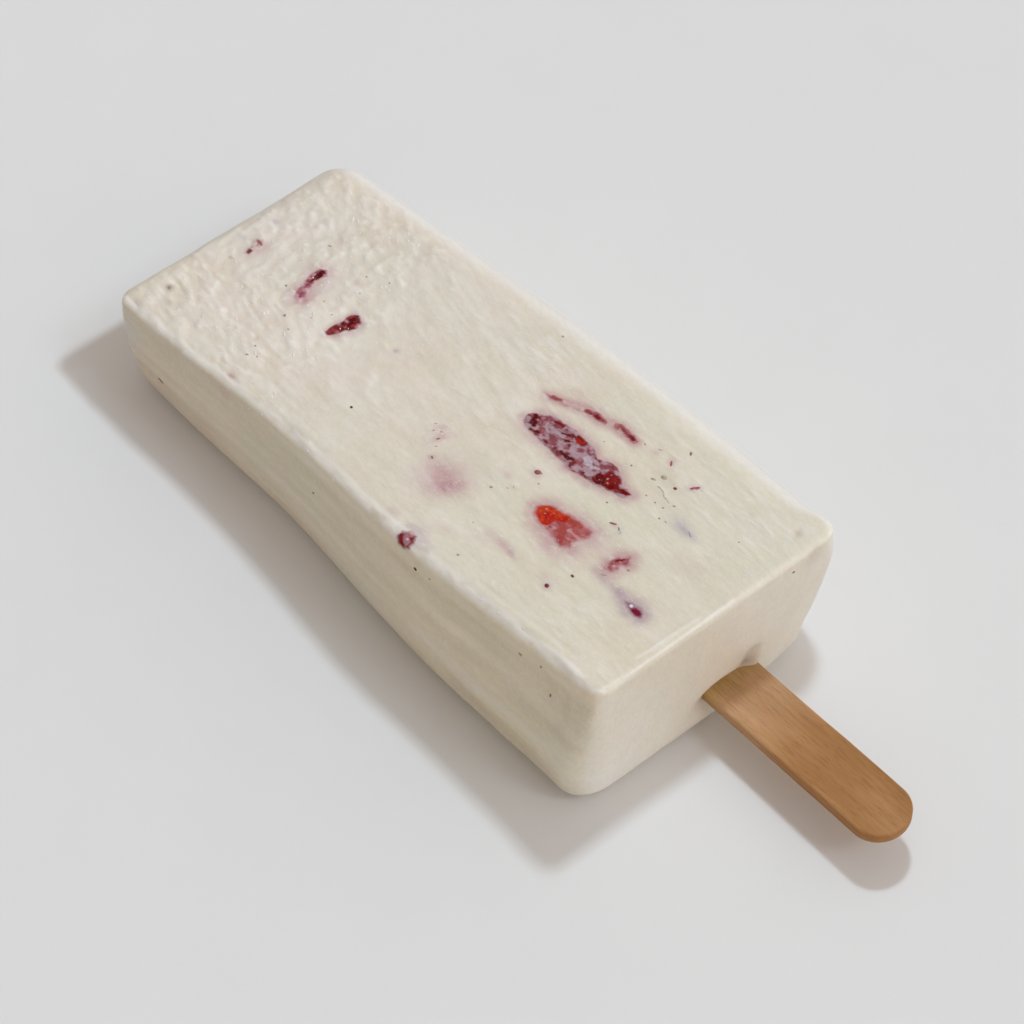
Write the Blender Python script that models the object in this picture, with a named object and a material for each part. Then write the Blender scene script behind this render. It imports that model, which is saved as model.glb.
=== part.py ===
"""A frozen cream bar with strawberry pieces on a flat wooden stick.

The bar lies on its flat back face at Z = 0. X runs along the bar, with the stick at +X, and Y runs across it.
The origin is on the back face, in the middle of the bar.
"""

import math

import bmesh
import bpy
from mathutils import Matrix, Vector, noise

MM = 0.001
CLEARANCE = 0.3 * MM

# The bar, as it comes out of a tapered four-ounce mould.
BAR_LENGTH = 109.0 * MM
BAR_WIDTH = 45.2 * MM
STICK_END_THICKNESS = 29.3 * MM
TIP_THICKNESS = 19.6 * MM
TIP_NARROWING = 0.8 * MM
STICK_END_LEAN = 0.9 * MM
TIP_LEAN = 1.5 * MM
STICK_END_SKEW = 1.0 * MM
RIGHT_CORNER_RADIUS = 2.4 * MM
LEFT_CORNER_RADIUS = 4.6 * MM
BACK_CORNER_RADIUS = 5.0 * MM
BACK_EDGE_RADIUS = 4.3 * MM
RIGHT_EDGE_RADIUS = 2.4 * MM
LEFT_EDGE_RADIUS = 4.8 * MM
STICK_END_EDGE_RADIUS = 1.1 * MM
STICK_END_EDGE_ZONE = 9.0 * MM
ROUNDED_ZONE = 6.0 * MM

# How far each side swells: at half height, towards the back, and along the bar in slow waves.
RIGHT_BELLY = 0.9 * MM
LEFT_BELLY = 1.2 * MM
TIP_BELLY = 1.0 * MM
STICK_END_BELLY = 0.2 * MM
RIGHT_FLARE = (0.6 * MM, 1.7 * MM)
LEFT_FLARE = (1.0 * MM, 0.8 * MM)
RIGHT_WAVES = (0.1 * MM, -0.5 * MM, 0.1 * MM, 0.3 * MM)
LEFT_WAVES = (1.6 * MM, -0.3 * MM)
MELTED_CORNER = 3.2 * MM

# The flat wooden stick, and the hollow that it leaves in the end of the bar.
STICK_LENGTH = 114.0 * MM
STICK_WIDTH = 9.6 * MM
STICK_THICKNESS = 2.0 * MM
STICK_EDGE_RADIUS = 0.35 * MM
STICK_BARE_LENGTH = 35.6 * MM
STICK_OFFSET = 3.8 * MM
STICK_HEIGHT = 7.4 * MM
STICK_RISE = math.radians(1.2)
STICK_TURN = math.radians(-0.6)
HOLLOW_DEPTH = 1.7 * MM
HOLLOW_HALF_WIDTH = 8.5 * MM
HOLLOW_HALF_HEIGHT = 8.0 * MM

# Strawberry pieces set into the top face: length, width and depth, then X, Y, turn, blunt-end share and bend.
PIECES = {
    "strawberry_slice": (21.8, 4.6, 5.0, 19.6, 5.6, 2.0, 0.15, 0.00),
    "strawberry_chunk": (10.8, 6.2, 6.0, 27.0, -5.5, 5.0, 0.30, 0.00),
    "strawberry_sliver_long": (10.2, 1.7, 2.4, 12.6, 11.4, 10.0, 0.00, -0.06),
    "strawberry_sliver_short": (4.8, 1.4, 2.0, 21.0, 12.8, 3.0, 0.10, 0.05),
    "strawberry_wedge": (6.0, 3.0, 3.0, -24.3, -1.9, 82.0, 0.45, 0.00),
    "strawberry_dark": (5.2, 3.0, 3.0, -35.4, 1.4, 88.0, 0.25, 0.10),
    "strawberry_tip": (4.6, 2.2, 2.4, -47.3, -0.9, 80.0, 0.10, 0.10),
    "strawberry_pink": (5.0, 3.0, 3.0, 38.2, -4.8, 60.0, 0.20, 0.08),
    "strawberry_purple": (4.6, 2.8, 3.0, 45.8, -8.6, -14.0, 0.35, 0.00),
}
CREST_PIECE = (3.4, 3.0, 3.0, 13.7, -22.0, 0.0, 0.0, 0.0)

# How finely the faceted solids are divided.
EDGE_STEPS = 5
LENGTH_STEPS = 18
WIDTH_STEPS = 16
THICKNESS_STEPS = 5
FRUIT_RINGS = 8
FRUIT_SIDES = 14

WHITE_CREAM = (0.70, 0.66, 0.57, 1.0)
PALE_WOOD = (0.44, 0.26, 0.13, 1.0)
FRUIT_COLOURS = {
    "strawberry_slice": (0.20, 0.02, 0.03, 1.0),
    "strawberry_chunk": (0.55, 0.06, 0.04, 1.0),
    "strawberry_sliver_long": (0.38, 0.06, 0.09, 1.0),
    "strawberry_sliver_short": (0.38, 0.06, 0.09, 1.0),
    "strawberry_wedge": (0.18, 0.01, 0.02, 1.0),
    "strawberry_dark": (0.24, 0.02, 0.04, 1.0),
    "strawberry_tip": (0.34, 0.16, 0.13, 1.0),
    "strawberry_pink": (0.45, 0.12, 0.15, 1.0),
    "strawberry_purple": (0.22, 0.05, 0.10, 1.0),
    "strawberry_crest": (0.22, 0.04, 0.06, 1.0),
}


def blend(low, high, share):
    return low + (high - low) * share


def limit(value, low, high):
    return max(low, min(high, value))


def smooth(share):
    share = limit(share, 0.0, 1.0)
    return share * share * (3 - 2 * share)


def waves(sizes, along):
    return sum(size * math.sin((i + 1) * math.pi * along) for i, size in enumerate(sizes))


def rounded_meeting(first, second, radius):
    """The distance outside two faces that meet in an edge of the given radius."""
    a = first + radius
    b = second + radius
    return math.hypot(max(a, 0.0), max(b, 0.0)) + min(max(a, b), 0.0) - radius


def outside(point):
    """How far a point lies outside the plain bar with its edges and corners rounded."""
    across = abs(point.x) - BAR_LENGTH / 2
    beside = abs(point.y) - BAR_WIDTH / 2
    leftness = smooth(point.y / BAR_WIDTH + 0.5)
    corner_radius = blend(RIGHT_CORNER_RADIUS, LEFT_CORNER_RADIUS, leftness)
    corner_radius = blend(BACK_CORNER_RADIUS, corner_radius, smooth(point.z / STICK_END_THICKNESS))
    plan = rounded_meeting(across, beside, corner_radius)
    top_radius = blend(RIGHT_EDGE_RADIUS, LEFT_EDGE_RADIUS, leftness)
    near_end = smooth((point.x - BAR_LENGTH / 2) / STICK_END_EDGE_ZONE + 1)
    top_radius = blend(top_radius, STICK_END_EDGE_RADIUS, near_end)
    top = rounded_meeting(plan, point.z - STICK_END_THICKNESS, top_radius)
    return max(top, rounded_meeting(plan, -point.z, BACK_EDGE_RADIUS))


def rounded(point):
    """A point on the faces of the plain box, moved onto the rounded bar."""
    zone = ROUNDED_ZONE
    core = Vector((
        limit(point.x, zone - BAR_LENGTH / 2, BAR_LENGTH / 2 - zone),
        limit(point.y, zone - BAR_WIDTH / 2, BAR_WIDTH / 2 - zone),
        limit(point.z, zone, STICK_END_THICKNESS - zone),
    ))
    outward = (point - core).normalized()
    near = 0.0
    far = 1.8 * zone
    for _ in range(40):
        middle = (near + far) / 2
        if outside(core + outward * middle) < 0:
            near = middle
        else:
            far = middle
    return core + outward * near


def thickness_at(along):
    return blend(TIP_THICKNESS, STICK_END_THICKNESS, along)


def moulded(point):
    """A point of the rounded bar, moved to where the tapered mould and a little melting put it."""
    along = point.x / BAR_LENGTH + 0.5
    up = point.z / STICK_END_THICKNESS
    back = 1 - up
    belly = math.sin(math.pi * limit(up, 0.0, 1.0))
    end_share = abs(2 * point.x / BAR_LENGTH) ** 3
    side_share = abs(2 * point.y / BAR_WIDTH) * 2 * point.y / BAR_WIDTH

    if point.x > 0:
        x = point.x + (STICK_END_BELLY * belly - STICK_END_LEAN * back) * end_share
        x += STICK_END_SKEW * 2 * point.y / BAR_WIDTH * (2 * along - 1)
    else:
        x = point.x + (TIP_LEAN * back - TIP_BELLY * belly) * end_share

    spread = 2 * along - 1
    if point.y < 0:
        swell = waves(RIGHT_WAVES, along) + RIGHT_BELLY * belly
        swell += (RIGHT_FLARE[0] + RIGHT_FLARE[1] * spread) * back
    else:
        swell = waves(LEFT_WAVES, along) + LEFT_BELLY * belly
        swell += (LEFT_FLARE[0] + LEFT_FLARE[1] * spread) * back
    y = point.y * (1 - TIP_NARROWING / BAR_WIDTH * (1 - along)) + swell * side_share

    height = up * thickness_at(along)
    melted = limit(2 * x / BAR_LENGTH + 2 * y / BAR_WIDTH - 1.2 * up - 1.0, 0.0, 1.0)
    x -= 0.7 * MELTED_CORNER * melted
    y -= MELTED_CORNER * melted

    if point.x > 0:
        sideways = (y - STICK_OFFSET) / HOLLOW_HALF_WIDTH
        upwards = (height - STICK_HEIGHT) / HOLLOW_HALF_HEIGHT
        hollow = 1 - smooth(math.hypot(sideways, upwards))
        x -= HOLLOW_DEPTH * hollow * smooth((end_share - 0.75) / 0.2)
    return Vector((x, y, height))


def grid_lines(low, high, steps):
    """Positions from low to high, closer together in the rounded zone at each end."""
    arc = [ROUNDED_ZONE * (1 - math.cos(math.pi / 2 * i / EDGE_STEPS)) for i in range(EDGE_STEPS)]
    start = low + ROUNDED_ZONE
    middle = [blend(start, high - ROUNDED_ZONE, i / steps) for i in range(steps + 1)]
    return [low + step for step in arc] + middle + [high - step for step in reversed(arc)]


def mesh_from(make):
    mesh = bmesh.new()
    make(mesh)
    bmesh.ops.recalc_face_normals(mesh, faces=mesh.faces)
    data = bpy.data.meshes.new("solid")
    mesh.to_mesh(data)
    mesh.free()
    return data


def build_bar(mesh):
    xs = grid_lines(-BAR_LENGTH / 2, BAR_LENGTH / 2, LENGTH_STEPS)
    ys = grid_lines(-BAR_WIDTH / 2, BAR_WIDTH / 2, WIDTH_STEPS)
    zs = grid_lines(0.0, STICK_END_THICKNESS, THICKNESS_STEPS)
    nx = len(xs) - 1
    ny = len(ys) - 1
    nz = len(zs) - 1
    corners = {}

    def corner(i, j, k):
        if (i, j, k) not in corners:
            place = moulded(rounded(Vector((xs[i], ys[j], zs[k]))))
            if k == 0 and i in range(EDGE_STEPS, nx - EDGE_STEPS + 1):
                if j in range(EDGE_STEPS, ny - EDGE_STEPS + 1):
                    place.z = 0.0
            corners[i, j, k] = mesh.verts.new(place)
        return corners[i, j, k]

    def side(count_a, count_b, place):
        for a in range(count_a):
            for b in range(count_b):
                steps = ((a, b), (a + 1, b), (a + 1, b + 1), (a, b + 1))
                mesh.faces.new([corner(*place(*step)) for step in steps])

    side(ny, nx, lambda a, b: (b, a, 0))
    side(nx, ny, lambda a, b: (a, b, nz))
    side(nx, nz, lambda a, b: (a, 0, b))
    side(nz, nx, lambda a, b: (b, ny, a))
    side(nz, ny, lambda a, b: (0, b, a))
    side(ny, nz, lambda a, b: (nx, a, b))


def stick_outline(half_length, half_width, reach=0.0):
    """The stick's outline, with rounded ends that stay a little flatter than a half circle."""
    points = []
    bulge = 0.92 * half_width
    for direction in (1, -1):
        for i in range(17):
            angle = math.pi * (i / 16 - 0.5)
            x = direction * (half_length - bulge + bulge * math.cos(angle))
            if direction > 0:
                x += reach
            points.append((x, direction * half_width * math.sin(angle)))
    return points


def build_stick(mesh, grow=0.0, reach=0.0):
    """The stick with its long edges slightly eased; grow makes room around it for the slot."""
    ease = STICK_EDGE_RADIUS
    half_length = STICK_LENGTH / 2 + grow
    half_width = STICK_WIDTH / 2 + grow
    half_thickness = STICK_THICKNESS / 2 + grow
    levels = ((-half_thickness, ease), (-half_thickness + ease, 0.0), (half_thickness - ease, 0.0),
              (half_thickness, ease))
    rings = []
    for height, inset in levels:
        outline = stick_outline(half_length - inset, half_width - inset, reach)
        rings.append([mesh.verts.new((x, y, height)) for x, y in outline])
    for lower, upper in zip(rings, rings[1:]):
        for i in range(len(lower)):
            j = (i + 1) % len(lower)
            mesh.faces.new((lower[i], lower[j], upper[j], upper[i]))
    mesh.faces.new(rings[0][::-1])
    mesh.faces.new(rings[-1])


def build_fruit(mesh, size, blunt, bend, name, grow=0.0):
    """A lumpy piece of fruit, blunter at its +X end, with an uneven outline."""
    half_length, half_width, half_depth = (value / 2 * MM for value in size)
    seed = sum(ord(letter) for letter in name) * 0.37
    rings = []
    for i in range(1, FRUIT_RINGS):
        share = i / FRUIT_RINGS
        angle = math.pi * share
        x = -math.cos(angle)
        girth = math.sin(angle) ** 0.8 * (1 + blunt * x)
        ring = []
        for k in range(FRUIT_SIDES):
            turn = 2 * math.pi * k / FRUIT_SIDES
            direction = Vector((x, math.cos(turn), math.sin(turn)))
            lump = 1 + 0.28 * noise.noise(direction * 1.7 + Vector((seed, 0, 0)))
            y = (half_width * lump + grow) * girth * math.cos(turn)
            y += bend * 2 * half_length * (1 - x * x)
            z = (half_depth * lump + grow) * girth * math.sin(turn)
            ring.append(mesh.verts.new((x * (half_length + grow), y, z)))
        rings.append(ring)
    ends = [mesh.verts.new((side * (half_length + grow), 0, 0)) for side in (-1, 1)]
    for near, far in zip(rings, rings[1:]):
        for k in range(FRUIT_SIDES):
            j = (k + 1) % FRUIT_SIDES
            mesh.faces.new((near[k], far[k], far[j], near[j]))
    for end, ring in zip(ends, (rings[0], rings[-1])):
        for k in range(FRUIT_SIDES):
            mesh.faces.new((end, ring[k], ring[(k + 1) % FRUIT_SIDES]))


def add(name, data, place=None, helper=False):
    thing = bpy.data.objects.new(name, data)
    bpy.context.scene.collection.objects.link(thing)
    if place is not None:
        data.transform(place)
    if helper:
        thing.hide_render = True
        thing.hide_set(True)
        thing.display_type = "WIRE"
    return thing


def material(name, colour, roughness, soft=0.0):
    look = bpy.data.materials.new(name)
    look.use_nodes = True
    shader = look.node_tree.nodes["Principled BSDF"]
    shader.inputs["Base Color"].default_value = colour
    shader.inputs["Roughness"].default_value = roughness
    shader.inputs["Subsurface Weight"].default_value = soft
    return look


def boolean(thing, operation, tool):
    step = thing.modifiers.new(operation.lower(), "BOOLEAN")
    step.operation = operation
    step.object = tool
    step.solver = "EXACT"


def smooth_shading(thing, degrees):
    for face in thing.data.polygons:
        face.use_smooth = True
    thing.data.set_sharp_from_angle(angle=math.radians(degrees))


def stick_place():
    exit_x = BAR_LENGTH / 2 - STICK_END_LEAN - HOLLOW_DEPTH
    middle = Vector((STICK_BARE_LENGTH - STICK_LENGTH / 2, 0, 0))
    turn = Matrix.Rotation(STICK_TURN, 4, "Z") @ Matrix.Rotation(-STICK_RISE, 4, "Y")
    return Matrix.Translation((exit_x, STICK_OFFSET, STICK_HEIGHT)) @ turn @ Matrix.Translation(middle)


def piece_place(x, y, turn):
    """A place on the sloping top face, with the piece turned about the upright."""
    slope = math.atan2(STICK_END_THICKNESS - TIP_THICKNESS, BAR_LENGTH)
    top = thickness_at(x * MM / BAR_LENGTH + 0.5)
    tilt = Matrix.Rotation(-slope, 4, "Y")
    return Matrix.Translation((x * MM, y * MM, top)) @ tilt @ Matrix.Rotation(math.radians(turn), 4, "Z")


def add_fruit(name, sizes, place, mould, bar, sink):
    """One piece of fruit cut flush with the bar's surface, and its pocket in the bar."""
    size = sizes[:3]
    blunt = sizes[6]
    bend = sizes[7]
    lowered = place @ Matrix.Translation((0, 0, -sink))
    fruit = add(name, mesh_from(lambda mesh: build_fruit(mesh, size, blunt, bend, name)), lowered)
    pocket_mesh = mesh_from(lambda mesh: build_fruit(mesh, size, blunt, bend, name, CLEARANCE))
    pocket = add(name + "_pocket", pocket_mesh, lowered, helper=True)
    boolean(fruit, "INTERSECT", mould)
    boolean(bar, "DIFFERENCE", pocket)
    fruit.data.materials.append(material(name + "_flesh", FRUIT_COLOURS[name], 0.35, 0.1))
    smooth_shading(fruit, 40)


def main():
    for thing in list(bpy.data.objects):
        bpy.data.objects.remove(thing)

    bar = add("ice_block", mesh_from(build_bar))
    bar.data.materials.append(material("frozen_cream", WHITE_CREAM, 0.45, 0.2))
    mould = add("mould_space", mesh_from(build_bar), helper=True)
    smooth_shading(bar, 40)

    stick = add("stick", mesh_from(build_stick), stick_place())
    stick.data.materials.append(material("pale_wood", PALE_WOOD, 0.6))
    smooth_shading(stick, 50)
    slot_mesh = mesh_from(lambda mesh: build_stick(mesh, CLEARANCE, reach=STICK_BARE_LENGTH))
    slot = add("stick_slot", slot_mesh, stick_place(), helper=True)
    boolean(bar, "DIFFERENCE", slot)

    for name, sizes in PIECES.items():
        place = piece_place(sizes[3], sizes[4], sizes[5])
        add_fruit(name, sizes, place, mould, bar, 0.12 * sizes[2] * MM)

    sizes = CREST_PIECE
    lift = RIGHT_EDGE_RADIUS * 0.4
    place = piece_place(sizes[3], sizes[4], sizes[5]) @ Matrix.Translation((0, 0, -lift))
    place = place @ Matrix.Rotation(math.radians(40), 4, "X")
    add_fruit("strawberry_crest", sizes, place, mould, bar, 0.1 * MM)


main()
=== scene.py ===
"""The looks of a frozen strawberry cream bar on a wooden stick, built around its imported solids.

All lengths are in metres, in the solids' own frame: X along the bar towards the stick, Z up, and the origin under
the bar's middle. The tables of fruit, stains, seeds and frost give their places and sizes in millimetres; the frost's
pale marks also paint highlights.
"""

import math
import random
from collections import namedtuple

import bpy
import numpy as np
from mathutils import Matrix, Vector
from mathutils.bvhtree import BVHTree


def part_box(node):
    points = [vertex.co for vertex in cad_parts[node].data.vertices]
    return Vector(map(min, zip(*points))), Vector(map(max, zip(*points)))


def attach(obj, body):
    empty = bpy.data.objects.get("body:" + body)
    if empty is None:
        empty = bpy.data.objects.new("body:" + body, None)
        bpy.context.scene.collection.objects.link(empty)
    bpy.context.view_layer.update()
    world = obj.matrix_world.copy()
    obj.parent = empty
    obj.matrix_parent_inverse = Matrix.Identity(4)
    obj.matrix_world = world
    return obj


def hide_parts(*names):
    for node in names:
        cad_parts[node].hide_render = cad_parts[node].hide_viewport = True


MM = 0.001

# The bar's form, with the same values as its solid.
BAR_LENGTH = 109.0 * MM
BAR_WIDTH = 45.2 * MM
STICK_END_THICKNESS = 29.3 * MM
TIP_THICKNESS = 19.6 * MM
TIP_NARROWING = 0.8 * MM
STICK_END_LEAN = 0.9 * MM
TIP_LEAN = 1.5 * MM
STICK_END_SKEW = 1.0 * MM
RIGHT_CORNER_RADIUS = 2.4 * MM
LEFT_CORNER_RADIUS = 4.6 * MM
BACK_CORNER_RADIUS = 5.0 * MM
BACK_EDGE_RADIUS = 4.3 * MM
RIGHT_EDGE_RADIUS = 2.4 * MM
LEFT_EDGE_RADIUS = 4.8 * MM
STICK_END_EDGE_RADIUS = 1.1 * MM
STICK_END_EDGE_ZONE = 9.0 * MM
ROUNDED_ZONE = 6.0 * MM
RIGHT_BELLY = 0.9 * MM
LEFT_BELLY = 1.2 * MM
TIP_BELLY = 1.0 * MM
STICK_END_BELLY = 0.2 * MM
RIGHT_FLARE = (0.6 * MM, 1.7 * MM)
LEFT_FLARE = (1.0 * MM, 0.8 * MM)
RIGHT_WAVES = (0.1 * MM, -0.5 * MM, 0.1 * MM, 0.3 * MM)
LEFT_WAVES = (1.6 * MM, -0.3 * MM)
MELTED_CORNER = 3.2 * MM
STICK_OFFSET = 3.8 * MM
STICK_HEIGHT = 7.4 * MM
HOLLOW_DEPTH = 2.0 * MM
HOLLOW_OFFSET = 1.4 * MM
HOLLOW_HALF_WIDTH = 7.0 * MM
HOLLOW_HALF_HEIGHT = 4.6 * MM

# The stick.
STICK_LENGTH = 114.0 * MM
STICK_WIDTH = 9.6 * MM
STICK_THICKNESS = 2.0 * MM
STICK_EASE = 0.35 * MM
STICK_RISE = math.radians(1.2)
STICK_TURN = math.radians(-0.6)

# How finely the bar's surface is divided.
TOP_CELL = 0.34 * MM
SIDE_CELL = 0.62 * MM
UNDER_RINGS = 7

# Where the camera stands.
CAMERA_AZIMUTH = math.radians(-41.9)
CAMERA_ELEVATION = math.radians(52.6)
CAMERA_DISTANCE = 0.4614
CAMERA_TARGET = Vector((0.0114, -0.0005, 0.010))
CAMERA_LENS = 109.8

# The light: a soft lamp close above the bar, a weak sun, and a room that is brighter towards +X and +Y.
LAMP_PLACE = Vector((36.0, 43.0, 187.0)) * MM
LAMP_RADIUS = 9.0 * MM
LAMP_POWER = 13.2
LAMP_COLOUR = (0.740, 0.885, 0.995)
ROOM_COLOUR = (0.553, 0.490, 0.445)
ROOM_EAST = 0.50
ROOM_NORTH = 0.38

# Colours.
TIP_CREAM = (0.800, 0.734, 0.634)
STICK_END_CREAM = (0.786, 0.731, 0.603)
# Pale frost colour, which also paints highlights on strokes, marks and specks.
FROST_AND_GLINT = (0.930, 0.893, 0.830)
DEEP_RED = (0.110, 0.006, 0.008)
DARK_RED = (0.200, 0.010, 0.011)
LOBE_RED = (0.160, 0.005, 0.004)
BRIGHT_RED = (0.500, 0.020, 0.008)
ORANGE_RED = (0.560, 0.050, 0.015)
PINK_RED = (0.470, 0.110, 0.108)
MAUVE = (0.270, 0.072, 0.095)
LILAC_FILM = (0.450, 0.300, 0.345)
BLUE_FILM = (0.530, 0.430, 0.500)
ROSE = (0.545, 0.290, 0.330)
PALE_ROSE = (0.640, 0.430, 0.450)
ROSE_HAZE = (0.600, 0.360, 0.380)
PURPLE_HAZE = (0.480, 0.340, 0.400)
GREY_HAZE = (0.540, 0.480, 0.510)
YELLOW_HAZE = (0.800, 0.690, 0.480)
OLIVE = (0.430, 0.350, 0.230)
BROWN = (0.140, 0.050, 0.025)
BLACK = (0.060, 0.035, 0.025)
PLUM = (0.200, 0.010, 0.036)
# Painted highlight: white glints painted into the fruit's colour.
WHITE_GLINT = (0.900, 0.880, 0.870)


def blend(low, high, share):
    return low + (high - low) * share


def smooth(share):
    share = np.clip(share, 0.0, 1.0)
    return share * share * (3 - 2 * share)


def bump(distance, width):
    """A soft bump that is 1 at distance 0 and falls away over width."""
    return np.exp(-(distance / width) ** 2)


def tinted(colours, colour, amount):
    """Colours moved towards another one by an amount for each point."""
    amount = amount[:, None]
    return colours * (1 - amount) + np.array(colour) * amount


# ---------------------------------------------------------------- noise

def lattice(x, y, z, seed):
    """A repeatable value between -1 and 1 for each whole-number place."""
    code = (x.astype(np.int64) * 374761393 + y.astype(np.int64) * 668265263
            + z.astype(np.int64) * 1440662683 + seed * 974634777) & 0xFFFFFFFF
    code = ((code ^ (code >> 13)) * 1274126177) & 0xFFFFFFFF
    code = ((code ^ (code >> 16)) * 2246822519) & 0xFFFFFFFF
    return (code ^ (code >> 15)) / 2147483647.5 - 1.0


def noise(points, size, seed=0):
    """Smooth noise from -1 to 1; size is one grain's length, or its lengths along X, Y and Z."""
    scaled = points / np.asarray(size)
    base = np.floor(scaled)
    part = scaled - base
    fade = part * part * part * (part * (part * 6 - 15) + 10)
    total = np.zeros(len(points))
    for i in (0, 1):
        for j in (0, 1):
            for k in (0, 1):
                weight = (fade[:, 0] if i else 1 - fade[:, 0]) * (fade[:, 1] if j else 1 - fade[:, 1])
                weight = weight * (fade[:, 2] if k else 1 - fade[:, 2])
                total += weight * lattice(base[:, 0] + i, base[:, 1] + j, base[:, 2] + k, seed)
    return total


def layered_noise(points, size, seed=0, layers=3):
    size = np.asarray(size, dtype=float)
    total = np.zeros(len(points))
    strength = 1.0
    for layer in range(layers):
        total += strength * noise(points, size / 2 ** layer, seed + 17 * layer)
        strength *= 0.5
    return total / (2 - 2 * strength)


def ridges(points, size, seed, width):
    """Thin winding ridges where smooth noise passes through zero: 1 on the ridge, 0 beyond its width."""
    return np.clip(1 - np.abs(layered_noise(points, size, seed, 2)) / width, 0, 1)


# ---------------------------------------------------------------- distances, in millimetres

def inside_distance(x, y, outline):
    """How far each point lies inside a closed outline, negative outside it."""
    nearest = np.full(len(x), np.inf)
    inside = np.zeros(len(x), dtype=bool)
    for (ax, ay), (bx, by) in zip(outline, outline[1:] + outline[:1]):
        share = ((x - ax) * (bx - ax) + (y - ay) * (by - ay)) / ((bx - ax) ** 2 + (by - ay) ** 2)
        share = np.clip(share, 0, 1)
        nearest = np.minimum(nearest, np.hypot(x - blend(ax, bx, share), y - blend(ay, by, share)))
        if ay != by:
            inside ^= ((ay > y) != (by > y)) & (x < ax + (y - ay) / (by - ay) * (bx - ax))
    return np.where(inside, nearest, -nearest)


def line_distance(places, start, end):
    """How far each place lies from the straight line between two others, in two or three dimensions."""
    start = np.array(start, dtype=float)
    along = np.array(end, dtype=float) - start
    share = np.clip((places - start) @ along / max(along @ along, 1e-9), 0, 1)
    return np.linalg.norm(places - start - share[:, None] * along, axis=1)


# ---------------------------------------------------------------- the bar's form

def rounded_meeting(first, second, radius):
    a = first + radius
    b = second + radius
    return np.hypot(np.maximum(a, 0), np.maximum(b, 0)) + np.minimum(np.maximum(a, b), 0) - radius


def outside(points):
    """How far each point lies outside the plain bar with its edges and corners rounded."""
    x, y, z = points.T
    leftness = smooth(y / BAR_WIDTH + 0.5)
    corner_radius = blend(RIGHT_CORNER_RADIUS, LEFT_CORNER_RADIUS, leftness)
    corner_radius = blend(BACK_CORNER_RADIUS, corner_radius, smooth(z / STICK_END_THICKNESS))
    plan = rounded_meeting(np.abs(x) - BAR_LENGTH / 2, np.abs(y) - BAR_WIDTH / 2, corner_radius)
    top_radius = blend(RIGHT_EDGE_RADIUS, LEFT_EDGE_RADIUS, leftness)
    near_end = smooth((x - BAR_LENGTH / 2) / STICK_END_EDGE_ZONE + 1)
    top_radius = blend(top_radius, STICK_END_EDGE_RADIUS, near_end)
    top = rounded_meeting(plan, z - STICK_END_THICKNESS, top_radius)
    return np.maximum(top, rounded_meeting(plan, -z, BACK_EDGE_RADIUS))


def rounded(points):
    """Points on the faces of the plain box, moved onto the rounded bar."""
    zone = ROUNDED_ZONE
    low = np.array((zone - BAR_LENGTH / 2, zone - BAR_WIDTH / 2, zone))
    high = np.array((BAR_LENGTH / 2 - zone, BAR_WIDTH / 2 - zone, STICK_END_THICKNESS - zone))
    core = np.clip(points, low, high)
    outward = points - core
    outward /= np.linalg.norm(outward, axis=1, keepdims=True)
    near = np.zeros(len(points))
    far = np.full(len(points), 1.8 * zone)
    for _ in range(34):
        middle = (near + far) / 2
        inside = outside(core + outward * middle[:, None]) < 0
        near = np.where(inside, middle, near)
        far = np.where(inside, far, middle)
    return core + outward * near[:, None]


def waves(sizes, along):
    return sum(size * np.sin((i + 1) * math.pi * along) for i, size in enumerate(sizes))


def moulded(points):
    """Points of the rounded bar, moved to where the tapered mould and a little melting put them."""
    px, py, pz = points.T
    along = px / BAR_LENGTH + 0.5
    up = pz / STICK_END_THICKNESS
    back = 1 - up
    belly = np.sin(math.pi * np.clip(up, 0, 1))
    end_share = np.abs(2 * px / BAR_LENGTH) ** 3
    side_share = np.abs(2 * py / BAR_WIDTH) * 2 * py / BAR_WIDTH
    spread = 2 * along - 1
    stick_end = (STICK_END_BELLY * belly - STICK_END_LEAN * back) * end_share
    stick_end += STICK_END_SKEW * 2 * py / BAR_WIDTH * spread
    tip = (TIP_LEAN * back - TIP_BELLY * belly) * end_share
    x = px + np.where(px > 0, stick_end, tip)
    right = waves(RIGHT_WAVES, along) + RIGHT_BELLY * belly
    right += (RIGHT_FLARE[0] + RIGHT_FLARE[1] * spread) * back
    left = waves(LEFT_WAVES, along) + LEFT_BELLY * belly
    left += (LEFT_FLARE[0] + LEFT_FLARE[1] * spread) * back
    y = py * (1 - TIP_NARROWING / BAR_WIDTH * (1 - along)) + np.where(py < 0, right, left) * side_share
    height = up * blend(TIP_THICKNESS, STICK_END_THICKNESS, along)
    melted = np.clip(2 * x / BAR_LENGTH + 2 * y / BAR_WIDTH - 1.2 * up - 1.0, 0, 1)
    x = x - 0.7 * MELTED_CORNER * melted
    y = y - MELTED_CORNER * melted
    sideways = (y - HOLLOW_OFFSET) / HOLLOW_HALF_WIDTH
    upwards = (height - STICK_HEIGHT) / HOLLOW_HALF_HEIGHT
    hollow = 1 - smooth(np.hypot(sideways, upwards))
    x = x - np.where(px > 0, HOLLOW_DEPTH * hollow * smooth((end_share - 0.75) / 0.2), 0)
    return np.stack((x, y, height), axis=1)


def grid_lines(low, high, cell):
    return np.linspace(low, high, int(round((high - low) / cell)) + 1)


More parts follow.
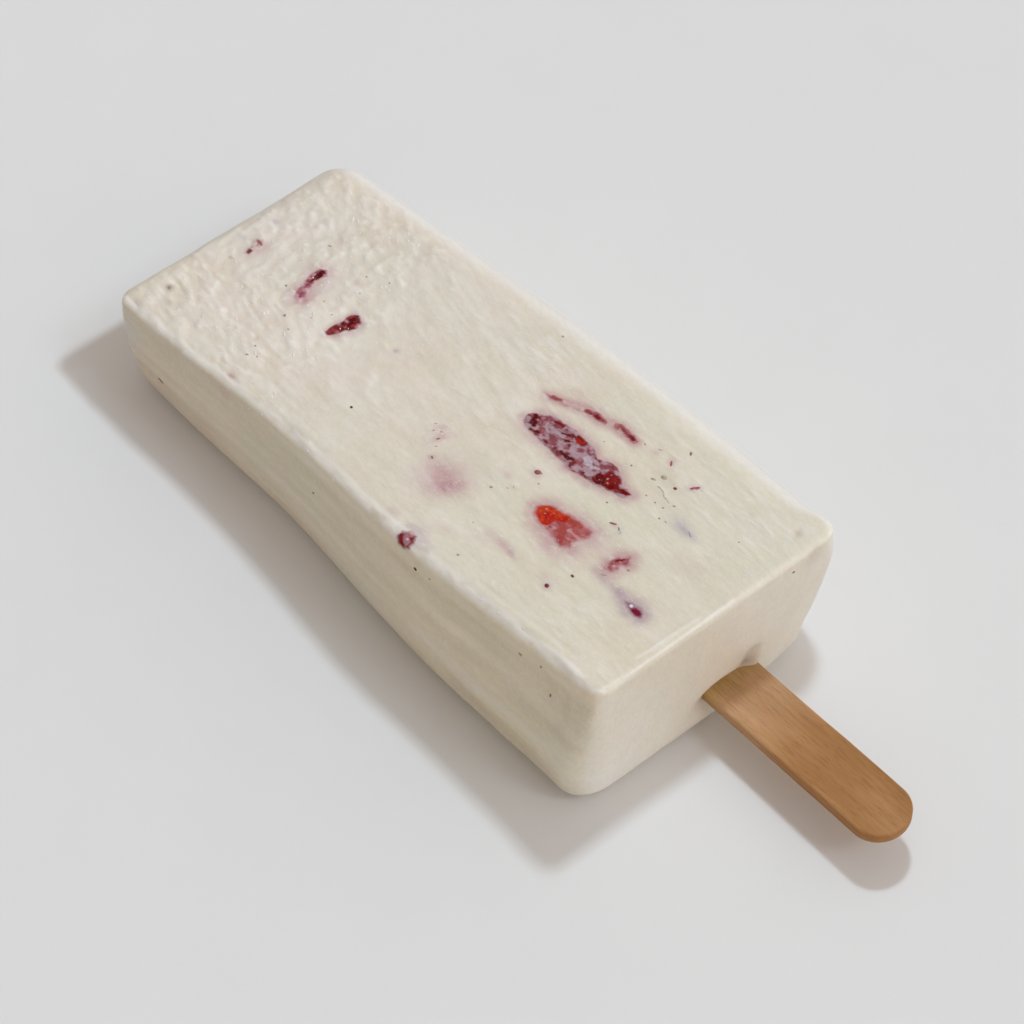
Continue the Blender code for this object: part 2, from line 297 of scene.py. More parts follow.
def bar_grid():
    """The points and faces of the plain box: grids on five sides, and rings under it round one flat face."""
    lines = (grid_lines(-BAR_LENGTH / 2, BAR_LENGTH / 2, TOP_CELL),
             grid_lines(-BAR_WIDTH / 2, BAR_WIDTH / 2, TOP_CELL),
             grid_lines(0.0, STICK_END_THICKNESS, SIDE_CELL))
    nx, ny, nz = (len(line) for line in lines)
    keys = []
    quads = []
    for fixed, at_end in ((0, False), (0, True), (1, False), (1, True), (2, True)):
        first, second = [axis for axis in (0, 1, 2) if axis != fixed]
        a, b = np.meshgrid(np.arange(len(lines[first])), np.arange(len(lines[second])), indexing="ij")
        place = {first: a, second: b, fixed: np.full(a.shape, len(lines[fixed]) - 1 if at_end else 0)}
        key = (place[0] * ny + place[1]) * nz + place[2]
        keys.append(key.ravel())
        corners = (key[:-1, :-1], key[1:, :-1], key[1:, 1:], key[:-1, 1:])
        if at_end == (fixed == 1):
            corners = corners[::-1]
        quads.append(np.stack([corner.ravel() for corner in corners], axis=1))
    used = np.unique(np.concatenate(keys))
    points = np.stack((lines[0][used // (ny * nz)], lines[1][used // nz % ny], lines[2][used % nz]), axis=1)
    faces = np.searchsorted(used, np.concatenate(quads)).tolist()

    loop = [(i, 0) for i in range(nx - 1)] + [(nx - 1, j) for j in range(ny - 1)]
    loop += [(i, ny - 1) for i in range(nx - 1, 0, -1)] + [(0, j) for j in range(ny - 1, 0, -1)]
    ring = np.searchsorted(used, np.array([(i * ny + j) * nz for i, j in loop])).tolist()
    border = points[ring]
    for step in range(1, UNDER_RINGS + 1):
        inset = ROUNDED_ZONE * step / UNDER_RINGS
        inner = border * np.array((1 - 2 * inset / BAR_LENGTH, 1 - 2 * inset / BAR_WIDTH, 1))
        inner_ring = list(range(len(points), len(points) + len(ring)))
        points = np.concatenate((points, inner))
        for i in range(len(ring)):
            j = (i + 1) % len(ring)
            faces.append((ring[i], inner_ring[i], inner_ring[j], ring[j]))
        ring = inner_ring
    faces.append(ring[::-1])
    return points, faces


# ---------------------------------------------------------------- meshes

def new_object(name, points, faces):
    mesh = bpy.data.meshes.new(name)
    mesh.from_pydata([tuple(point) for point in points.tolist()], [], [tuple(face) for face in faces])
    mesh.update()
    mesh.shade_smooth()
    thing = bpy.data.objects.new(name, mesh)
    bpy.context.scene.collection.objects.link(thing)
    return thing


def normals_of(mesh):
    values = np.zeros(len(mesh.vertices) * 3, dtype=np.float32)
    mesh.vertex_normals.foreach_get("vector", values)
    return values.reshape(-1, 3).astype(float)


def set_points(mesh, points):
    mesh.vertices.foreach_set("co", points.astype(np.float32).ravel())
    mesh.update()


def store(mesh, name, values):
    """Stores a number, a vector or a colour for each point."""
    if values.ndim == 1:
        mesh.attributes.new(name, "FLOAT", "POINT").data.foreach_set("value", values.astype(np.float32))
    elif name == "flow":
        layer = mesh.attributes.new(name, "FLOAT_VECTOR", "POINT")
        layer.data.foreach_set("vector", values.astype(np.float32).ravel())
    else:
        layer = mesh.attributes.new(name, "FLOAT_COLOR", "POINT")
        colours = np.column_stack((values, np.ones(len(values))))
        layer.data.foreach_set("color", colours.astype(np.float32).ravel())


def finish_piece(piece, look, node):
    piece.data.materials.append(look)
    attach(piece, "root")
    if node:
        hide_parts(node)


# ---------------------------------------------------------------- fruit, stains, seeds and frost

# One piece of strawberry. The outline and the cells are in millimetres from the middle of the node's box.
# A cell is a line between two places, half its width and its colour. A halo is a colour, a width and a strength.
Fruit = namedtuple("Fruit", "node slot outline deep bright film cover softness halo cells")

FRUIT = (
    Fruit("strawberry_slice", "dark_strawberry", (
        (-11.1, -1.3), (-11.1, -0.1), (-10.2, 1.1), (-8.6, 1.9), (-4.7, 2.4), (-2.0, 2.1), (0.4, 1.9), (2.3, 0.9),
        (3.9, 1.5), (5.3, 1.8), (7.4, 0.7), (8.8, -0.2), (10.7, -0.3), (10.4, -1.3), (7.0, -2.3), (4.9, -2.7),
        (1.0, -3.1), (-1.3, -2.9), (-6.3, -2.4), (-9.6, -2.2)),
        (0.19, 0.028, 0.034), (0.33, 0.085, 0.098), LILAC_FILM, 0.56, 0.45, (ROSE, 1.1, 0.70), (
            (5.3, -1.5, 7.4, -0.9, 1.05, LOBE_RED), (5.6, 0.2, 7.6, 0.0, 0.66, (0.23, 0.020, 0.022)),
            (8.3, -0.9, 10.1, -0.7, 0.45, (0.22, 0.010, 0.012)),
            (-10.3, 0.4, -9.7, -0.9, 0.42, DEEP_RED), (-9.3, -0.7, -9.1, -1.1, 0.42, DEEP_RED),
            (-8.9, -2.1, -7.6, -1.7, 0.26, DEEP_RED), (-8.7, 1.2, -8.4, 0.9, 0.22, MAUVE),
            (-8.7, 0.1, -8.5, 0.0, 0.26, MAUVE), (-7.3, 1.5, -5.8, 1.6, 0.34, DARK_RED),
            (-6.9, 1.1, -5.7, 1.2, 0.30, MAUVE), (-6.8, -0.1, -6.7, -0.1, 0.16, MAUVE),
            (-5.3, -0.8, -4.6, -1.5, 0.50, MAUVE), (-4.9, 0.7, -3.2, 1.5, 0.16, DEEP_RED),
            (-3.6, 0.1, -2.7, 0.6, 0.22, DEEP_RED), (-2.6, 1.7, -1.3, 1.5, 0.52, DARK_RED),
            (-2.3, 1.4, -1.4, 1.5, 0.22, BRIGHT_RED), (-2.5, -1.8, -0.8, -2.1, 0.26, DEEP_RED),
            (-0.9, -2.0, -0.2, -1.6, 0.20, DEEP_RED), (-0.6, 0.2, -0.5, 0.3, 0.40, MAUVE),
            (0.7, 1.2, 0.8, 1.3, 0.42, MAUVE), (0.8, 1.2, 0.8, 1.3, 0.20, LILAC_FILM),
            (1.2, -0.1, 2.9, -0.8, 0.50, BLUE_FILM), (1.9, -0.9, 3.6, -0.4, 0.30, BLUE_FILM), (2.7, -2.4, 2.8, -2.3, 0.20, DEEP_RED),
            (3.8, 0.5, 4.6, 1.0, 0.42, MAUVE), (5.2, -1.8, 6.4, -1.2, 0.50, DEEP_RED),
            (6.0, 0.2, 6.9, 0.0, 0.62, DARK_RED), (6.6, -1.1, 7.1, -0.4, 0.50, (0.230, 0.012, 0.010)),
            (5.5, -0.4, 5.9, 0.0, 0.40, DARK_RED), (8.9, -0.9, 10.0, -0.7, 0.36, LOBE_RED),
            (8.6, -1.5, 9.2, -1.2, 0.22, DARK_RED), (6.1, -0.7, 6.1, -0.6, 0.03, WHITE_GLINT),
            (5.4, -1.6, 5.4, -1.6, 0.00, WHITE_GLINT), (6.6, -1.2, 6.7, -1.2, 0.02, WHITE_GLINT),
            (5.9, 0.2, 6.0, 0.3, -0.02, WHITE_GLINT), (7.4, -0.4, 7.4, -0.4, -0.02, WHITE_GLINT))),
    Fruit("strawberry_chunk", "red_strawberry", (
        (-4.2, -1.3), (-4.8, -0.1), (-4.2, 0.9), (-3.0, 1.7), (-0.9, 2.0), (1.8, 2.4), (4.6, 2.3), (4.9, 0.9),
        (4.3, -0.9), (4.5, -2.1), (3.2, -3.0), (1.5, -2.6), (-0.5, -2.3), (-2.7, -2.1)),
        (0.40, 0.080, 0.075), (0.46, 0.135, 0.138), (0.57, 0.27, 0.29), 0.30, 0.90, (ROSE_HAZE, 1.5, 0.66), (
            (0.2, 1.2, 2.6, 1.7, 0.50, (0.44, 0.060, 0.045)),
            (-3.4, -0.6, -1.7, -0.9, 0.95, BRIGHT_RED), (-3.3, 0.3, -0.3, 1.0, 0.85, BRIGHT_RED),
            (-3.6, -0.4, -3.2, 0.3, 0.55, ORANGE_RED), (-2.2, 0.9, -0.8, 1.0, 0.40, ORANGE_RED),
            (-2.6, -1.0, -2.2, -1.3, 0.35, ORANGE_RED), (1.2, -0.4, 2.6, -2.2, 0.40, (0.42, 0.075, 0.068)),
            (2.4, 0.3, 4.0, 0.6, 0.26, (0.43, 0.090, 0.082)), (0.5, 1.5, 2.6, 1.6, 0.22, (0.42, 0.09, 0.08)),
            (1.2, -2.4, 3.2, -2.8, 0.20, (0.34, 0.08, 0.09)), (-3.2, 0.4, -3.2, 0.5, 0.02, WHITE_GLINT),
            (-2.7, -0.3, -2.7, -0.3, 0.02, WHITE_GLINT), (-3.6, -0.5, -3.6, -0.5, -0.02, WHITE_GLINT),
            (-1.9, 0.6, -1.9, 0.6, -0.02, WHITE_GLINT))),
    Fruit("strawberry_sliver_long", "pink_strawberry", (
        (-5.2, -1.2), (-4.5, -0.7), (-2.6, -0.3), (-0.7, 0.3), (1.4, 1.2), (3.4, 1.5), (4.9, 1.4), (5.1, 0.9),
        (3.3, 0.4), (1.3, 0.1), (-0.8, -0.2), (-2.6, -0.8), (-4.4, -1.4)),
        (0.36, 0.095, 0.110), (0.46, 0.17, 0.19), (0.58, 0.33, 0.35), 0.45, 0.50, ((0.54, 0.27, 0.29), 1.0, 0.72), (
            (-4.4, -1.0, -2.7, -0.5, 0.34, (0.33, 0.080, 0.092)), (1.4, 0.7, 4.4, 1.1, 0.40, (0.29, 0.060, 0.072)),
            (2.2, 0.7, 3.6, 1.0, 0.20, DARK_RED), (-2.2, -0.3, 0.4, 0.4, 0.45, (0.66, 0.46, 0.46)))),
    Fruit("strawberry_sliver_short", "pink_strawberry", (
        (-2.4, 0.1), (-1.7, 0.5), (-0.3, 0.55), (1.2, 0.3), (2.4, -0.1), (2.2, -0.6), (0.6, -0.5), (-1.0, -0.4),
        (-2.1, -0.45)),
        (0.34, 0.085, 0.095), (0.45, 0.16, 0.17), (0.58, 0.33, 0.35), 0.35, 0.45, ((0.54, 0.27, 0.29), 0.9, 0.70), (
            (-0.8, 0.0, 1.6, -0.2, 0.24, (0.27, 0.055, 0.060)), (0.9, -0.1, 1.8, -0.3, 0.16, DARK_RED))),
    Fruit("strawberry_wedge", "dark_strawberry", (
        (-0.2, 2.6), (1.0, 2.1), (1.6, 0.6), (1.2, -0.4), (0.4, -0.9), (-0.1, -2.3), (-0.8, -3.2), (-1.4, -2.9),
        (-1.3, -1.4), (-1.3, 0.2), (-1.2, 1.6), (-0.9, 2.4)),
        DEEP_RED, (0.30, 0.045, 0.050), (0.50, 0.24, 0.27), 0.20, 0.50, (ROSE, 0.9, 0.60), (
            (-0.2, 1.5, 0.4, 0.4, 0.60, DEEP_RED), (-0.5, 0.1, -0.5, -1.2, 0.30, DARK_RED),
            (0.6, 1.0, 0.7, 0.6, 0.22, (0.36, 0.03, 0.03)), (0.1, -0.2, 0.1, -0.4, 0.16, (0.50, 0.20, 0.22)))),
    Fruit("strawberry_dark", "dark_strawberry", (
        (-0.6, 1.7), (0.5, 2.2), (1.4, 1.7), (1.3, 0.5), (1.1, -0.8), (1.4, -2.1), (2.3, -3.4), (2.4, -4.6),
        (1.4, -5.0), (0.5, -3.8), (0.0, -2.0), (-0.5, -0.3)),
        (0.30, 0.06, 0.09), (0.44, 0.18, 0.21), (0.60, 0.36, 0.40), 0.50, 0.55, (ROSE, 1.2, 0.60), (
            (0.3, 1.3, 0.6, 0.2, 0.58, DEEP_RED), (0.5, -0.2, 0.6, -0.9, 0.30, DARK_RED),
            (0.7, -1.8, 0.8, -2.0, 0.24, (0.30, 0.06, 0.10)), (1.4, -3.6, 1.9, -4.2, 0.26, (0.34, 0.09, 0.13)))),
    Fruit("strawberry_tip", "pink_strawberry", (
        (0.1, -2.1), (0.9, -1.7), (1.1, -0.8), (0.9, 0.3), (1.0, 1.2), (0.2, 1.7), (-0.8, 1.6), (-0.8, 0.6),
        (-0.1, -0.3), (-0.3, -1.2)),
        (0.40, 0.22, 0.21), (0.58, 0.42, 0.39), (0.68, 0.54, 0.50), 0.62, 0.60, (ROSE_HAZE, 0.8, 0.22), (
            (0.6, -1.3, 0.7, -1.2, 0.40, (0.22, 0.06, 0.055)), (0.6, 1.0, -0.2, 1.2, 0.26, (0.36, 0.13, 0.12)))),
    Fruit("strawberry_pink", "pink_strawberry", (
        (-0.9, -1.8), (-1.3, -0.4), (-0.9, 1.1), (0.4, 2.2), (1.4, 1.1), (1.1, -0.8), (0.5, -1.8)),
        (0.37, 0.095, 0.115), (0.45, 0.165, 0.185), (0.58, 0.36, 0.39), 0.42, 0.85, ((0.54, 0.28, 0.31), 1.3, 0.66), (
            (-0.8, -0.6, 0.5, 1.7, 0.36, (0.34, 0.075, 0.085)), (-0.4, 0.2, 0.2, 1.1, 0.16, DARK_RED),
            (-0.5, -0.3, -0.5, -0.3, 0.02, WHITE_GLINT), (0.0, 0.4, 0.0, 0.4, 0.02, WHITE_GLINT))),
    Fruit("strawberry_purple", "dark_strawberry", (
        (-2.3, 0.3), (-1.0, 0.8), (0.4, 0.9), (1.4, 0.4), (1.6, -0.4), (0.9, -0.8), (-0.4, -0.6), (-1.7, -0.2)),
        (0.25, 0.07, 0.11), (0.36, 0.18, 0.24), (0.46, 0.33, 0.39), 0.45, 0.75, (PURPLE_HAZE, 1.3, 0.66), (
            (0.1, 0.0, 0.9, -0.2, 0.56, PLUM), (-1.9, 0.2, -0.5, 0.2, 0.22, (0.26, 0.13, 0.19)),
            (-0.9, 0.15, -0.8, 0.15, 0.20, WHITE_GLINT))),
    Fruit("strawberry_crest", "dark_strawberry", (
        (-1.6, -0.4), (-1.2, 0.7), (-0.2, 1.3), (1.0, 1.2), (1.7, 0.3), (1.5, -0.8), (0.4, -1.4), (-0.9, -1.2)),
        DARK_RED, (0.30, 0.06, 0.08), (0.50, 0.24, 0.29), 0.25, 0.75, (PURPLE_HAZE, 0.9, 0.55), (
            (-0.1, 0.3, 0.5, -0.2, 0.50, (0.50, 0.24, 0.29)), (-1.0, 0.0, -0.2, -0.9, 0.30, DARK_RED),
            (0.3, 0.2, 0.4, 0.2, 0.12, WHITE_GLINT))),
)

# Juice in the cream of the top face: place, half length, half width, turn in degrees, colour, strength, patchiness.
STAINS = (
    (9.0, -11.2, 4.6, 3.7, 20, ROSE, 0.66, 0.3), (10.2, -12.4, 2.8, 2.0, 35, ROSE, 0.80, 0.5),
    (6.4, -11.4, 1.6, 1.9, 0, PALE_ROSE, 0.45, 0.5), (2.6, -6.6, 2.4, 1.1, 62, PALE_ROSE, 0.55, 1.3),
    (1.4, -5.4, 1.4, 0.8, 40, ROSE, 0.42, 1.5), (4.8, -10.0, 0.7, 0.5, 30, ROSE, 0.55, 1.0),
    (29.6, -9.6, 4.2, 1.6, 6, PALE_ROSE, 0.42, 0.6), (34.0, -5.2, 2.4, 3.4, 0, PALE_ROSE, 0.40, 0.6),
    (10.4, 13.4, 2.2, 0.9, 10, ROSE_HAZE, 0.34, 0.9), (12.8, 12.6, 1.8, 1.0, 5, ROSE_HAZE, 0.30, 0.6),
    (-32.8, -2.6, 1.4, 2.3, -20, ROSE, 0.62, 1.2), (-32.8, 1.2, 1.4, 2.2, 20, PURPLE_HAZE, 0.28, 0.6),
    (-46.2, -0.6, 1.4, 2.6, 0, PALE_ROSE, 0.34, 0.6), (17.8, -1.4, 1.1, 0.9, 0, ROSE, 0.62, 0.7),
    (41.5, -8.1, 3.2, 1.1, -4, PURPLE_HAZE, 0.55, 0.6), (44.5, -8.6, 3.2, 1.5, -8, PURPLE_HAZE, 0.32, 0.4),
    (38.2, -7.9, 2.2, 1.2, 0, PURPLE_HAZE, 0.42, 0.6), (24.6, -13.9, 2.9, 0.9, -8, ROSE_HAZE, 0.50, 0.6),
    (26.3, -14.1, 1.2, 0.4, -8, PURPLE_HAZE, 0.50, 0.6), (21.6, -14.6, 2.4, 1.6, 10, PALE_ROSE, 0.25, 0.6),
    (15.0, -4.6, 1.2, 0.7, 0, ROSE_HAZE, 0.40, 0.7), (16.4, -17.6, 1.6, 0.9, 0, PALE_ROSE, 0.25, 0.8),
    (39.6, 6.2, 2.9, 1.3, -6, GREY_HAZE, 0.75, 0.4), (41.0, 6.1, 1.6, 0.4, -6, (0.44, 0.40, 0.46), 0.55, 0.4),
    (0.0, 15.0, 1.6, 1.0, 10, YELLOW_HAZE, 0.75, 0.6), (8.9, -20.8, 1.3, 1.0, 0, ROSE_HAZE, 0.50, 0.6),
    (16.2, -21.4, 2.2, 1.0, 0, PURPLE_HAZE, 0.45, 0.8), (-28.4, -20.6, 1.5, 0.7, -12, ROSE_HAZE, 0.60, 0.8),
    (-28.6, -20.6, 0.7, 0.35, -12, MAUVE, 0.50, 0.8), (-49.6, -15.7, 0.8, 0.7, 0, BROWN, 0.60, 0.6),
    (-47.0, -17.7, 0.8, 0.5, 0, OLIVE, 0.45, 0.8), (-49.5, 4.9, 0.8, 0.6, 0, GREY_HAZE, 0.75, 0.6),
    (-50.3, 1.6, 0.6, 0.5, 0, GREY_HAZE, 0.75, 0.6), (-50.5, -0.8, 0.9, 0.5, 0, GREY_HAZE, 0.5, 0.8),
    (-48.3, -5.0, 0.5, 0.5, 0, OLIVE, 0.40, 0.8), (-30.2, 5.2, 1.0, 0.8, 0, ROSE_HAZE, 0.42, 1.0),
    (-38.8, 10.0, 2.6, 3.0, 0, (0.62, 0.53, 0.43), 0.32, 1.0), (-27.0, 17.2, 3.0, 1.6, 0, (0.62, 0.58, 0.46), 0.30, 1.0),
    (-15.0, 0.1, 0.6, 0.5, 0, PURPLE_HAZE, 0.62, 0.6), (-37.3, 2.6, 2.2, 1.6, 0, PURPLE_HAZE, 0.16, 0.8),
    (29.8, 13.5, 1.1, 0.7, -49, ROSE_HAZE, 0.70, 0.5), (35.6, 12.6, 1.5, 0.8, 50, ROSE_HAZE, 0.80, 0.4),
    (31.6, 11.2, 2.6, 1.4, 0, (0.60, 0.54, 0.42), 0.35, 1.2), (26.6, 13.4, 1.0, 0.6, 0, PALE_ROSE, 0.40, 0.8),
    (34.1, -14.4, 0.9, 0.7, 0, ROSE, 0.50, 0.3), (33.0, -13.6, 2.0, 1.4, 0, PALE_ROSE, 0.22, 0.6),
    (32.6, -0.2, 1.1, 0.5, 10, ROSE_HAZE, 0.50, 0.6), (34.0, -0.6, 0.8, 0.4, -50, GREY_HAZE, 0.70, 0.3),
    (45.0, 2.0, 3.5, 2.0, 0, PALE_ROSE, 0.16, 0.8), (15.3, 13.5, 0.7, 0.5, 0, GREY_HAZE, 0.60, 0.4),
    (17.4, -5.5, 1.3, 0.9, 0, (0.70, 0.60, 0.49), 0.40, 0.8), (-23.0, -2.8, 2.0, 1.2, 0, PALE_ROSE, 0.22, 0.7),
)

# Tints on the sides: place, radius, colour and strength.
BLOTS = (
    # The two blots on the next line and the first one on the line after paint shade round the stick's exit: under the
    # stick, where it is also a brownish-pink stain, and in the hollow above it.
    ((53.8, -1.6, 7.7), 2.2, (0.56, 0.36, 0.28), 0.60), ((54.2, 6.0, 13.0), 2.8, (0.56, 0.47, 0.43), 0.42),
    ((53.6, 6.2, 10.2), 1.7, (0.40, 0.31, 0.26), 0.70), ((52.0, 18.4, 29.0), 1.0, (0.88, 0.84, 0.77), 0.60),
    ((51.5, 16.8, 28.7), 0.9, (0.56, 0.40, 0.29), 0.50), ((-28.5, -22.6, 19.5), 1.4, ROSE_HAZE, 0.30),
    ((54.4, 16.6, 27.0), 1.6, (0.60, 0.47, 0.40), 0.55), ((54.6, 2.0, 21.0), 8.0, (0.79, 0.69, 0.59), 0.40),
    ((-54.0, -12.0, 15.0), 8.0, (0.68, 0.64, 0.44), 0.35), ((-53.2, -20.4, 16.0), 2.4, (0.74, 0.68, 0.44), 0.60), ((-52.0, -22.0, 14.0), 3.5, (0.62, 0.66, 0.66), 0.45),
    ((-48.0, -23.2, 5.0), 5.0, (0.80, 0.62, 0.50), 0.40), ((48.0, -23.8, 18.0), 5.5, (0.56, 0.53, 0.42), 0.22),
    ((36.0, -23.8, 20.0), 6.0, (0.66, 0.58, 0.47), 0.18), ((52.0, 21.0, 14.0), 6.0, (0.80, 0.74, 0.62), 0.40),
    ((53.5, -19.0, 4.0), 7.0, (0.88, 0.86, 0.82), 0.75), ((54.4, -16.0, 16.0), 7.0, (0.84, 0.80, 0.73), 0.50),
    ((-38.0, 23.5, 9.0), 1.6, ROSE_HAZE, 0.40), ((20.0, 24.5, 16.0), 1.2, ROSE_HAZE, 0.35),
    ((-10.0, 24.0, 14.0), 9.0, (0.76, 0.70, 0.58), 0.35), ((34.0, 24.5, 8.0), 8.0, (0.84, 0.80, 0.72), 0.40),
    ((-54.0, 10.0, 6.0), 1.4, PURPLE_HAZE, 0.40), ((54.6, 12.0, 19.0), 6.0, (0.78, 0.76, 0.68), 0.45), ((54.2, 18.0, 24.0), 4.0, (0.83, 0.80, 0.74), 0.40),
)

# Lengthwise bands on the right side: two ends as X and Z, width, colour and strength.
SIDE_BANDS = (
    ((18.0, 9.4), (31.0, 9.0), 1.2, (0.90, 0.85, 0.77), 0.35), ((31.0, 9.0), (50.5, 11.6), 1.1, (0.90, 0.85, 0.77), 0.40),
    ((26.0, 5.4), (46.0, 4.2), 1.6, (0.60, 0.52, 0.38), 0.40), ((38.0, 14.0), (51.5, 15.5), 1.2, (0.62, 0.54, 0.44), 0.24),
    ((-44.0, 15.6), (8.0, 19.6), 1.4, (0.70, 0.62, 0.46), 0.35), ((-40.0, 4.0), (-6.0, 4.5), 1.8, (0.80, 0.62, 0.48), 0.35),
    ((-4.0, 5.0), (12.0, 5.0), 1.6, (0.80, 0.78, 0.70), 0.40), ((-30.0, 10.0), (2.0, 11.5), 1.0, (0.82, 0.77, 0.70), 0.30),
    ((52.0, 19.0), (52.4, 25.0), 1.8, (0.58, 0.54, 0.42), 0.45),
)

# Seeds and flecks of fruit on the top face: place, half length, half width, turn in degrees and colour.
SEEDS = (
    (-10.9, -12.0, 0.26, 0.22, 0, BLACK), (-37.3, -2.8, 0.24, 0.20, 10, (0.10, 0.07, 0.14)),
    (-32.5, -7.0, 0.27, 0.24, 0, (0.16, 0.04, 0.04)), (-29.8, -8.5, 0.20, 0.14, 20, (0.26, 0.09, 0.05)),
    (-30.6, -14.2, 0.22, 0.16, 0, BROWN), (-30.1, -16.2, 0.28, 0.16, 30, (0.26, 0.18, 0.10)),
    (-28.7, -15.4, 0.20, 0.14, 0, (0.32, 0.10, 0.05)), (-49.6, -15.7, 0.26, 0.22, 0, (0.20, 0.10, 0.05)),
    (-30.0, 7.0, 0.20, 0.15, 0, (0.28, 0.08, 0.06)), (-26.5, 8.6, 0.18, 0.14, 0, (0.32, 0.25, 0.18)),
    (-28.0, 4.0, 0.18, 0.13, 0, (0.36, 0.30, 0.30)), (-30.7, -0.8, 0.24, 0.13, 80, (0.28, 0.24, 0.22)),
    (-29.2, -4.5, 0.22, 0.12, 70, (0.34, 0.28, 0.24)), (-27.5, -1.9, 0.30, 0.12, 75, (0.36, 0.32, 0.26)),
    (2.7, -7.0, 0.34, 0.16, 60, (0.34, 0.12, 0.13)), (2.0, -5.8, 0.28, 0.12, 20, (0.36, 0.14, 0.14)),
    (4.8, -10.0, 0.34, 0.12, -30, (0.30, 0.08, 0.10)), (0.2, -5.3, 0.24, 0.12, 40, (0.36, 0.16, 0.15)),
    (1.0, -6.4, 0.26, 0.12, 70, (0.40, 0.20, 0.18)), (3.6, -8.2, 0.22, 0.12, 30, (0.36, 0.14, 0.15)),
    (17.7, -1.2, 0.60, 0.44, 20, (0.34, 0.09, 0.10)), (18.2, -1.0, 0.24, 0.20, 0, (0.22, 0.02, 0.04)),
    (19.4, -2.6, 0.20, 0.13, 0, (0.34, 0.14, 0.12)), (15.1, -7.8, 0.30, 0.22, 10, (0.26, 0.07, 0.045)),
    (28.8, 1.9, 0.26, 0.15, 0, (0.20, 0.07, 0.04)), (32.3, -0.2, 0.62, 0.20, 30, (0.28, 0.09, 0.06)),
    (33.6, -0.3, 0.42, 0.12, -40, (0.26, 0.20, 0.20)), (34.3, -0.7, 0.26, 0.10, -70, (0.26, 0.20, 0.20)),
    (34.1, -14.4, 0.42, 0.34, -20, PLUM), (35.3, -10.7, 0.36, 0.22, -10, (0.18, 0.05, 0.035)),
    (40.0, -4.5, 0.26, 0.20, 0, (0.16, 0.03, 0.03)), (38.2, -7.5, 0.50, 0.08, 30, (0.40, 0.26, 0.22)),
    (29.8, 13.5, 0.60, 0.18, -49, (0.42, 0.09, 0.08)), (30.4, 16.8, 0.42, 0.20, -49, (0.30, 0.16, 0.11)),
    (31.0, 10.9, 0.50, 0.38, 10, (0.48, 0.41, 0.29)), (33.6, 10.6, 0.32, 0.26, 0, (0.24, 0.03, 0.03)),
    (35.6, 12.6, 0.80, 0.26, 50, (0.46, 0.09, 0.10)), (31.7, 6.8, 0.20, 0.15, 0, (0.26, 0.05, 0.04)),
    (33.5, 6.8, 0.20, 0.14, 0, (0.28, 0.05, 0.04)), (35.0, 6.9, 0.22, 0.14, 10, (0.34, 0.12, 0.08)),
    (35.9, 8.2, 0.30, 0.15, 20, (0.34, 0.16, 0.11)), (36.1, 5.1, 0.20, 0.16, 0, (0.26, 0.05, 0.04)),
    (37.2, 5.3, 0.30, 0.12, -10, (0.42, 0.30, 0.26)), (30.2, 9.6, 0.50, 0.22, 15, (0.50, 0.42, 0.28)),
    (26.1, 9.2, 0.20, 0.16, 0, (0.18, 0.09, 0.06)), (24.5, 13.4, 0.18, 0.14, 0, (0.20, 0.14, 0.09)),
    (41.2, 6.1, 0.62, 0.09, -30, (0.34, 0.30, 0.36)), (0.3, 19.6, 0.26, 0.20, 0, (0.32, 0.20, 0.12)),
    (17.4, -5.5, 0.30, 0.10, -60, (0.55, 0.40, 0.30)), (16.9, -6.3, 0.26, 0.09, 10, (0.58, 0.42, 0.30)),
    (21.3, -19.5, 0.30, 0.22, 0, (0.40, 0.26, 0.20)), (18.3, -14.0, 0.18, 0.14, 0, (0.60, 0.46, 0.34)),
    (-39.2, 7.4, 0.40, 0.16, 15, (0.55, 0.42, 0.34)), (26.8, 14.2, 0.40, 0.12, 20, (0.62, 0.42, 0.40)),
    (20.0, 9.6, 0.16, 0.12, 0, (0.40, 0.24, 0.18)), (47.0, 10.0, 0.18, 0.14, 0, (0.40, 0.22, 0.16)),
)

# A dark thread of fruit skin on the top face.
THREAD = ((31.5, 9.1), (32.3, 9.1), (33.0, 8.9), (33.6, 8.4), (34.3, 8.3), (35.0, 8.1))

# Seeds on the other faces: place on the bar, half length, half width, turn in degrees and colour.
SIDE_SEEDS = (
    ((38.4, -23.4, 23.9), 0.42, 0.26, 0, (0.46, 0.36, 0.28)), ((42.5, -23.2, 25.2), 0.34, 0.20, 70, (0.42, 0.25, 0.09)),
    ((44.9, -23.8, 21.3), 0.46, 0.20, 80, (0.30, 0.19, 0.06)), ((-7.1, -22.9, 16.1), 0.24, 0.18, 0, BROWN),
    ((-44.5, -22.7, 8.2), 0.70, 0.24, -50, (0.17, 0.03, 0.03)), ((17.0, -23.4, 22.6), 0.36, 0.28, 0, (0.13, 0.01, 0.02)),
    ((20.0, -23.0, 23.2), 0.20, 0.16, 0, (0.45, 0.30, 0.28)), ((54.2, 12.9, 27.0), 0.26, 0.20, 0, BROWN),
    ((-20.0, 23.5, 11.0), 0.26, 0.20, 20, (0.22, 0.04, 0.04)), ((12.0, 24.2, 15.0), 0.30, 0.22, 60, BROWN),
    ((36.0, 24.4, 9.0), 0.34, 0.24, 10, (0.26, 0.05, 0.05)), ((-38.2, 23.5, 9.1), 0.60, 0.34, 30, DARK_RED),
    ((20.2, 24.5, 16.2), 0.44, 0.30, -20, (0.30, 0.05, 0.05)), ((-54.0, 10.2, 6.2), 0.40, 0.30, 60, PLUM),
    ((-2.0, 24.2, 19.0), 0.22, 0.18, 0, BROWN), ((-46.0, 22.6, 12.0), 0.24, 0.16, 40, BROWN), ((-54.0, 6.0, 11.0), 0.28, 0.22, 0, (0.20, 0.05, 0.04)),
)
